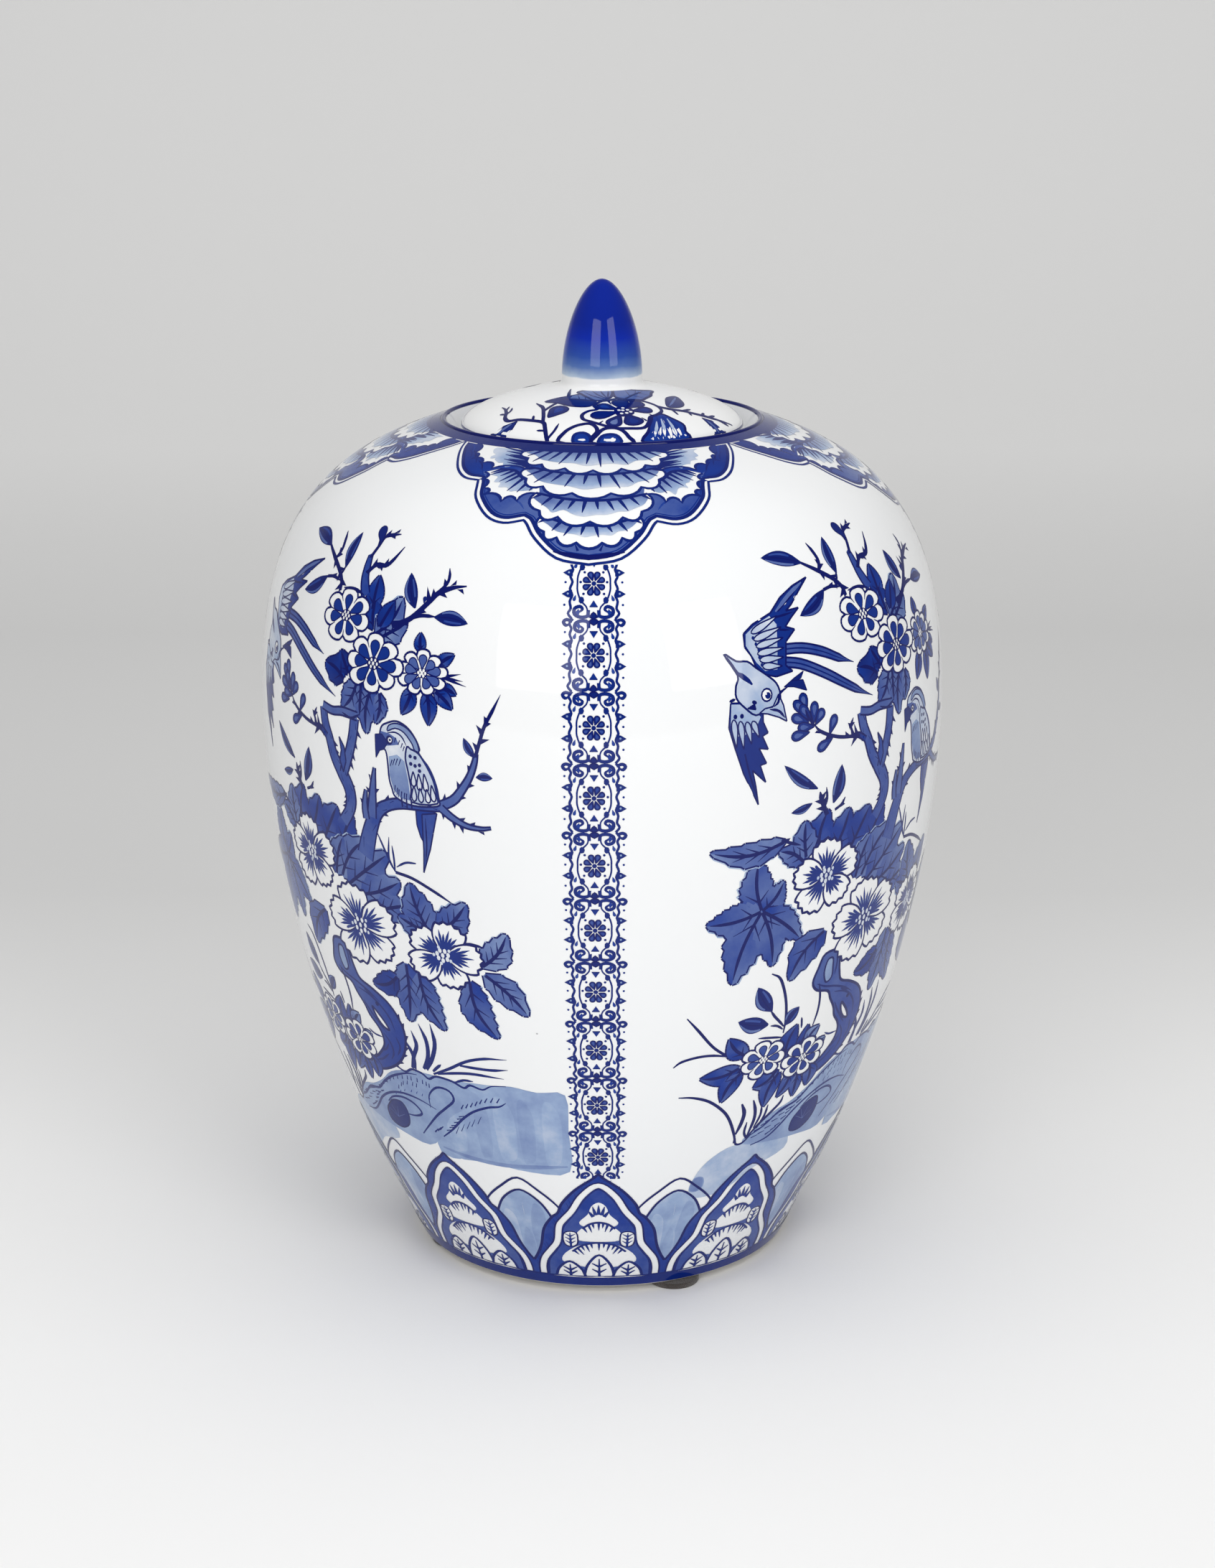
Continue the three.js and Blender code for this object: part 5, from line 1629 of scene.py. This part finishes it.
def paint_lid_spray(side):
    """Drawn with heavier lines, as the dome lies low and shows them narrowed."""
    brush = Brush(side, 1.45)
    for path, width in (
        ([(-22, 1.6), (-25.5, 6.6), (-28.5, 9.2), (-35, 9.5), (-42, 9.1), (-47, 7.6), (-51, 8.6), (-55, 11),
          (-60, 12.5), (-65, 12.9)], 1.0),
        ([(-28.5, 9.4), (-32, 13.4), (-38, 17.6), (-47, 19.5)], 0.9),
        ([(-34.3, 15.2), (-33.4, 20), (-31, 26), (-35, 29.4), (-44, 33.4)], 0.9),
        ([(-22, 2.6), (-20.6, 5.6), (-20.2, 9.2)], 0.6),
        ([(-24.8, 5.4), (-28.6, 5.2)], 0.6),
        ([(-34.4, 9.6), (-36.6, 12.2)], 0.7),
        ([(-53.4, 10.2), (-54.4, 12.4), (-57, 14.2)], 0.8),
        ([(-57.5, 11.8), (-60.8, 14.4)], 0.8),
        ([(-54, 10.2), (-57.4, 9.6)], 0.7),
        ([(34, 20.4), (37, 18.2), (42, 15.8), (48, 13.6), (51.5, 11.6), (57, 8.4), (62, 5.4), (68, 2.4)],
            1.1),
        ([(42.5, 15.6), (42, 12)], 0.7),
        ([(48, 13.8), (54.6, 13.6)], 0.7),
        ([(49.8, 12.6), (49.2, 10.4)], 0.7),
        ([(55.5, 9.4), (58.8, 10.4)], 0.7),
        ([(58, 8), (63, 7.8)], 0.7),
        ([(61, 6), (64.4, 2.6)], 0.8),
    ):
        brush.line(path, width, LINE, (0.9, 0.25))
    brush.outlined([(-42.5, 21.4), (-38, 25), (-30, 27.6), (-22, 29.6), (-12, 27.6), (-5, 24.6), (-8.5, 20.6),
        (-20, 20.2), (-32, 21.6)], 0.84, 0.6)
    brush.fill([(-28, 28), (-20, 29.4), (-12, 27.2), (-6, 25), (-16, 25.2), (-27, 25)], SOFT)
    brush.line([(-40, 22.2), (-28, 25), (-14, 25.2), (-6, 24.4)], 0.7, LINE, (0.3, 0.8))
    brush.lines((((-18, 25.2), (-24, 29)), ((-13, 25.2), (-16, 28)), ((-26, 24.6), (-30, 21.8))), 0.4, DARK,
        (0.9, 0.2), 1)
    crown = [(-28, 31.4), (-18, 33.6), (-6, 34.1), (6, 34.2), (13, 33), (9, 28.4), (4, 26), (-5, 25),
        (-14, 27.6), (-22, 29.8)]
    brush.outlined(crown, 0.44, 0.7)
    brush.lines((((4, 26.4), (-14, 33.4)), ((4.6, 26.8), (-3, 33.8)), ((5, 27), (8, 33.4)),
        ((2, 26), (-21, 31.4))), 0.45, DARK, (0.9, 0.2), 2)
    brush.outlined([(14, 33.2), (24, 33.6), (36, 32.8), (48, 31.2), (60, 29.2), (52, 27.8), (46, 26.2),
        (38, 25), (32, 24), (26, 24.8), (19, 25.6), (12, 28)], 0.5, 0.7)
    brush.line([(20, 26), (32, 28.6), (46, 30)], 0.6, LINE, (0.9, 0.3))
    brush.lines((((26, 27.4), (30, 32.8)), ((34, 29), (42, 31.6)), ((30, 28), (36, 25.2)),
        ((38, 29.4), (46, 26.8))), 0.4, DARK, (0.9, 0.2), 1)
    drop(brush, (-27.6, 12.3), (-25.2, 19.8), 6.0, DARK, 0.4, 0.66)
    brush.outlined([(43, 17.4), (48, 20.6), (56, 22.8), (66, 22.2), (62, 19.4), (56, 16.8), (49, 16)], DARK,
        0.5)
    brush.line([(45, 17.8), (54, 20), (63, 21.6)], 0.5, SOFT, (0.3, 0.3))
    brush.facet([(-50.5, 1.2), (-46.4, 5), (-42, 8.2), (-40.8, 4.6), (-41.6, 1.2)], 0.8, 0.5)
    brush.line([(-46.4, 2.2), (-43.4, 6.6)], 0.7, SOFT, (0.3, 0.3))
    brush.facet([(51.4, 1), (52.4, 4.8), (53, 8.4), (56.8, 6), (59.6, 1)], 0.8, 0.5)
    brush.line([(54.8, 1.6), (53.8, 6.6)], 0.7, SOFT, (0.3, 0.3))
    shaded = [(17, 1.4), (20, 5.4), (24, 10), (27, 13.2), (33, 13.6), (36, 10.6), (38.6, 7), (37, 4),
        (36.6, 1.2)]
    brush.outlined(shaded, 0.62, 0.7)
    brush.lines((((24, 3), (29, 12.6)), ((29, 2), (32, 12.4)), ((34, 2.4), (34.4, 10)),
        ((20, 3.6), (26, 11))), 1.0, 0.7, (0.3, 0.3), 2)
    brush.lines((((26.4, 3), (30, 11)), ((31.6, 2.6), (33.2, 10.8)), ((22, 3.2), (26.6, 9.8))), 0.8, 0.2,
        (0.3, 0.3), 2)
    for lobes, heart in (
        ([(-17, 1.4), (-16, 5), (-13.6, 7.4), (-10.4, 9), (-6, 9.8), (-3, 8.4), (-2, 6), (-4, 3.4),
            (-4.6, 1.2)],
         [(-11, 1.4), (-11.4, 4.4), (-8, 5.4), (-5, 4), (-5, 1.4)]),
        ([(-3.6, 1.4), (-2, 4.6), (1, 7.2), (5.6, 7.6), (9, 6.2), (11, 3.6), (12, 1.2)],
         [(-1, 1.4), (0, 4), (3.6, 4.8), (6.6, 4), (7.4, 1.4)]),
    ):
        brush.outlined(lobes, BARE, 0.9)
        brush.outlined(heart, 0.62, 0.7, steps=3, edge=0.8)
    rim = [(5.6, 25), (12, 26.2), (19, 25.4), (21.6, 24), (28, 23.8), (33, 22.4), (36.4, 19), (35.4, 15.6),
        (30.4, 13.6), (25.4, 12.6), (22.6, 9.8), (18.8, 7.2), (12, 7.2), (5.4, 7.6), (-0.6, 9.4), (-5, 10.8),
        (-9.4, 12.2), (-10.6, 15), (-7.6, 17.4), (-3, 18.6), (-5.2, 21.4), (-1, 24.2), (3, 24.8)]
    brush.outlined(rim, BARE, 0.85)
    for foot, head, width, heart in (
        ((13.6, 18.6), (13.4, 25.2), 5.0, None), ((17.5, 19.4), (28.6, 22.6), 4.2, None),
        ((18.4, 17), (30, 17), 3.8, 0.72), ((13.8, 14.6), (16.4, 8.8), 5.6, 0.72),
        ((9.4, 14.2), (4, 8.6), 4.2, 0.45), ((8, 16.6), (-5.6, 14), 4.4, None), ((8.6, 18.6), (-2.6, 21.6),
            4.0, 0.6),
    ):
        drop(brush, foot, head, width, DARK, 0.5, heart)
    brush.lines((((20.5, 12.6), (22, 10.6)), ((0.6, 11.4), (-1.4, 9.8)), ((-1.4, 18.6), (-3.4, 18.6)),
        ((20.6, 21.4), (21.6, 23.6)), ((6.4, 22), (5, 24.6)), ((26, 14.4), (27.4, 13))), 0.6, LINE, (0.3, 1),
        1)
    brush.outlined([(9, 14.4), (7.6, 17), (9.4, 19.4), (14, 20), (18, 18.4), (17.6, 15.4), (13, 14)], LINE,
        0.4)
    brush.dots(((11, 15.6), (12.4, 17.6), (14, 15.8), (15.4, 17.8), (10.2, 17.8), (13.2, 19.2), (16.6, 16.4)),
        0.55, 0.05, 1.0, 7)
    return brush


# ---------- everything painted on the body and the lid ----------

SCENE_AT = 48.4  # where the scene is drawn, in degrees from the front
SCENES = (-46.8, 48.4, 136.7, 225.0)
COLUMNS = (-0.8, 92.5, 180.9, 269.1)
MEDALLIONS = ((-2.3, 1.0), (88.75, 0.954), (177.65, 0.954), (266.55, 0.954))
LAPPETS = 10
LAPPET_AT = -0.8
LID_SPRAYS = 2


def lay_round(name, brush, places, material, body, slot, lift=1.0):
    """Cuts a painting once and lays it at each (degrees, share of its drawn width)."""
    sheet = cut_sheet(brush)
    for number, (turn, squeeze) in enumerate(places, 1):
        lay_sheet(f"{name}_{number}", brush, sheet, turn, squeeze, material, body, slot, lift)


def paint_body(scene):
    """Lays the rim band, the scenes, the columns, the medallions and the lappets."""
    side = jar_side(scene.jar_sizes)
    ware = (cobalt_material(scene.paint_settings), "jar", "jar_glaze")
    brush = Brush(side)
    band(brush, 292.5, 296.2, DARK)
    lay_sheet("rim_band", brush, cut_sheet(brush), 0, 1, *ware)
    lay_round("bird_scene", paint_scene(side), [(angle - SCENE_AT, 1) for angle in SCENES], *ware)
    lay_round("flower_column", paint_column(side), [(angle, 1) for angle in COLUMNS], *ware, 1.6)
    lay_round("shoulder_medallion", paint_medallion(side), MEDALLIONS, *ware, 1.3)
    lappets = [(LAPPET_AT + 360 / LAPPETS * number, 1) for number in range(LAPPETS)]
    lay_round("foot_lappet", paint_lappets(side), lappets, *ware, 2.2)


def paint_lid(scene):
    """Lays the line round the lid's edge and a spray on each half of the dome."""
    side = lid_dome(scene.lid_sizes)
    ware = (bpy.data.materials["cobalt_brushwork"], "lid", "lid_glaze")
    brush = Brush(side)
    band(brush, 0.15, 0.9, DARK)
    lay_sheet("lid_edge_line", brush, cut_sheet(brush), 0, 1, *ware)
    lay_round("lid_spray", paint_lid_spray(side), [(180 * number, 1) for number in range(LID_SPRAYS)], *ware,
        1.6)


# ---------- stage ----------

CAMERA_PLACE = (1.65 * MM, -902.3 * MM, 416.2 * MM)
CAMERA_PITCH = 16.596
CAMERA_LENS = 68.25
CAMERA_SENSOR = 36
JAR_MIDDLE = (0, 0, 0.19)
BOXES = (("left_box", -20, 1.05, 14.3), ("right_box", 34, 0.9, 12))
BOX_DISTANCE = 2.0
BOX_RISE = 19
BOX_HEIGHT = 1.15
TOP_HEIGHT = 2.2
TOP_WIDTH = 3.2
TOP_PLACE = -0.25
TOP_POWER = 41
ROOM_LIGHT = 0.25
ROOM_COLOUR = (1.0, 0.99, 0.98)
PAPER_HALF_WIDTH = 2.6
PAPER_FRONT = ((-1.6, 0.0), (0.0, 0.0))
PAPER_CURVE = ((1.1, 0.0), (1.9, 0.0), (2.2, 0.3), (2.3, 2.6))


def area_light(name, place, aim, width, height, power):
    """A soft box at a place, facing a point."""
    data = bpy.data.lights.new(name, "AREA")
    data.shape = "RECTANGLE"
    data.size = width
    data.size_y = height
    data.energy = power
    lamp = new_object(name, data)
    lamp.location = place
    lamp.rotation_euler = (Vector(aim) - Vector(place)).to_track_quat("-Z", "Y").to_euler()
    return lamp


def set_stage(scene):
    """The camera, the curved paper sweep, two soft boxes, a top box and a dim room."""
    deselect()
    camera = bpy.data.cameras.new("camera")
    camera.lens = CAMERA_LENS
    camera.sensor_width = CAMERA_SENSOR
    eye = new_object("camera", camera)
    eye.location = CAMERA_PLACE
    eye.rotation_euler = (math.radians(90 - CAMERA_PITCH), 0, 0)
    scene.camera = eye
    outline = [*PAPER_FRONT, *[tuple(p) for p in bezier(*PAPER_CURVE, 24)]]
    points = [(x, y, z) for x in (-PAPER_HALF_WIDTH, PAPER_HALF_WIDTH) for y, z in outline]
    count = len(outline)
    faces = [(i, i + 1, count + i + 1, count + i) for i in range(count - 1)]
    mesh = bpy.data.meshes.new("paper_sweep")
    mesh.from_pydata(points, [], faces)
    mesh.polygons.foreach_set("use_smooth", np.ones(len(faces), bool))
    mesh.flip_normals()
    mesh.materials.append(stage_material())
    new_object("paper_sweep", mesh)
    for name, turn, wide, power in BOXES:
        place = Vector((math.sin(math.radians(turn)), -math.cos(math.radians(turn)), 0)) * BOX_DISTANCE
        place.z = JAR_MIDDLE[2] + BOX_DISTANCE * math.tan(math.radians(BOX_RISE))
        area_light(name, place, JAR_MIDDLE, wide, BOX_HEIGHT, power)
    top = area_light("top_box", (0, TOP_PLACE, TOP_HEIGHT), (0, 0, 0), TOP_WIDTH, TOP_WIDTH, TOP_POWER)
    top.visible_glossy = False
    world = bpy.data.worlds.new("studio")
    scene.world = world
    world.use_nodes = True
    background = world.node_tree.nodes["Background"]
    background.inputs["Color"].default_value = opaque(ROOM_COLOUR)
    background.inputs["Strength"].default_value = ROOM_LIGHT
    scene.view_settings.view_transform = "Standard"


# ---------- operators ----------

BARE_CLAY = 0.45 * MM  # unglazed height of the foot ring
FADE_START = 0.8 * MM  # where the dipped cobalt begins and is full, above the collar
FADE_END = 17 * MM
PAD_BEVEL = 0.35 * MM


def finish_piece(made, material, body, slot, *nodes):
    """Gives a piece its material and its body, and hides the nodes it stands for."""
    made.data.materials.append(material)
    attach(made, body)
    if nodes:
        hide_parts(*nodes)


class JAR_OT_body(bpy.types.Operator):
    """Turn the porcelain body with its lip, ledge and foot ring"""

    bl_idname = "jar.body"
    bl_label = "Body"

    def execute(self, context):
        sizes = context.scene.jar_sizes
        made = turned("jar_shell", jar_outline(sizes), sizes.segments)
        finish_piece(made, porcelain_material(context.scene.paint_settings), "jar", "jar_glaze", "jar_body")
        made.data.materials.append(biscuit_material())
        for face in made.data.polygons:
            if face.center.z < JAR_LOW.z + BARE_CLAY:
                face.material_index = 1
        return {"FINISHED"}


class JAR_OT_lid(bpy.types.Operator):
    """Turn the lid with its flange and finial"""

    bl_idname = "jar.lid"
    bl_label = "Lid"

    def execute(self, context):
        sizes = context.scene.lid_sizes
        collar = LID_HIGH.z - sizes.finial_height
        material = lid_material(context.scene.paint_settings, collar + FADE_START, collar + FADE_END)
        made = turned("lid_shell", lid_outline(sizes), context.scene.jar_sizes.segments)
        finish_piece(made, material, "lid", "lid_glaze", "lid")
        return {"FINISHED"}


class JAR_OT_pads(bpy.types.Operator):
    """Cut the felt pads and press them under the foot ring"""

    bl_idname = "jar.pads"
    bl_label = "Felt Pads"

    def execute(self, context):
        felt = felt_material()
        for name in PAD_NODES:
            low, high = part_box(name)
            centre = (low + high) / 2
            radius = (high.x - low.x) / 2
            deselect()
            bpy.ops.mesh.primitive_cylinder_add(vertices=64, radius=radius, depth=high.z - low.z,
                                                location=centre, end_fill_type="NGON")
            made = context.active_object
            made.name = name.replace("pad", "disc")
            bpy.ops.object.mode_set(mode="EDIT")
            bpy.ops.mesh.select_all(action="SELECT")
            bpy.ops.mesh.bevel(offset=PAD_BEVEL, segments=3, affect="EDGES")
            bpy.ops.object.mode_set(mode="OBJECT")
            bpy.ops.object.transform_apply(location=True, rotation=True, scale=True)
            bpy.ops.object.shade_smooth_by_angle(angle=math.radians(40))
            finish_piece(made, felt, "jar", "felt", name)
        return {"FINISHED"}


class JAR_OT_painting(bpy.types.Operator):
    """Lay the cobalt brushwork on the body"""

    bl_idname = "jar.painting"
    bl_label = "Brushwork"

    def execute(self, context):
        paint_body(context.scene)
        paint_lid(context.scene)
        return {"FINISHED"}


class JAR_OT_stage(bpy.types.Operator):
    """Set the paper floor, the lights and the camera"""

    bl_idname = "jar.stage"
    bl_label = "Stage"

    def execute(self, context):
        set_stage(context.scene)
        return {"FINISHED"}


class JAR_PT_panel(bpy.types.Panel):
    """Sizes, colours and steps of the ginger jar"""

    bl_idname = "JAR_PT_panel"
    bl_label = "Ginger Jar"
    bl_space_type = "VIEW_3D"
    bl_region_type = "UI"
    bl_category = "Ginger Jar"

    def draw(self, context):
        column = self.layout.column()
        for group in (context.scene.jar_sizes, context.scene.lid_sizes, context.scene.paint_settings):
            for name in group.bl_rna.properties.keys():
                if name not in ("rna_type", "name"):
                    column.prop(group, name)
        for step in STEPS:
            column.operator(step.bl_idname)


GROUPS = (("jar_sizes", JarSizes), ("lid_sizes", LidSizes), ("paint_settings", PaintSettings))
STEPS = (JAR_OT_stage, JAR_OT_body, JAR_OT_lid, JAR_OT_pads, JAR_OT_painting)


def register():
    for name, group in GROUPS:
        bpy.utils.register_class(group)
        setattr(bpy.types.Scene, name, PointerProperty(type=group))
    for step in STEPS:
        bpy.utils.register_class(step)
    bpy.utils.register_class(JAR_PT_panel)


def unregister():
    bpy.utils.unregister_class(JAR_PT_panel)
    for step in reversed(STEPS):
        bpy.utils.unregister_class(step)
    for name, group in reversed(GROUPS):
        delattr(bpy.types.Scene, name)
        bpy.utils.unregister_class(group)


def main():
    """Builds everything round the frame."""
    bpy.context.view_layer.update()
    register()
    bpy.ops.jar.stage()
    bpy.ops.jar.body()
    bpy.ops.jar.lid()
    bpy.ops.jar.pads()
    bpy.ops.jar.painting()


if __name__ == "__main__":
    main()
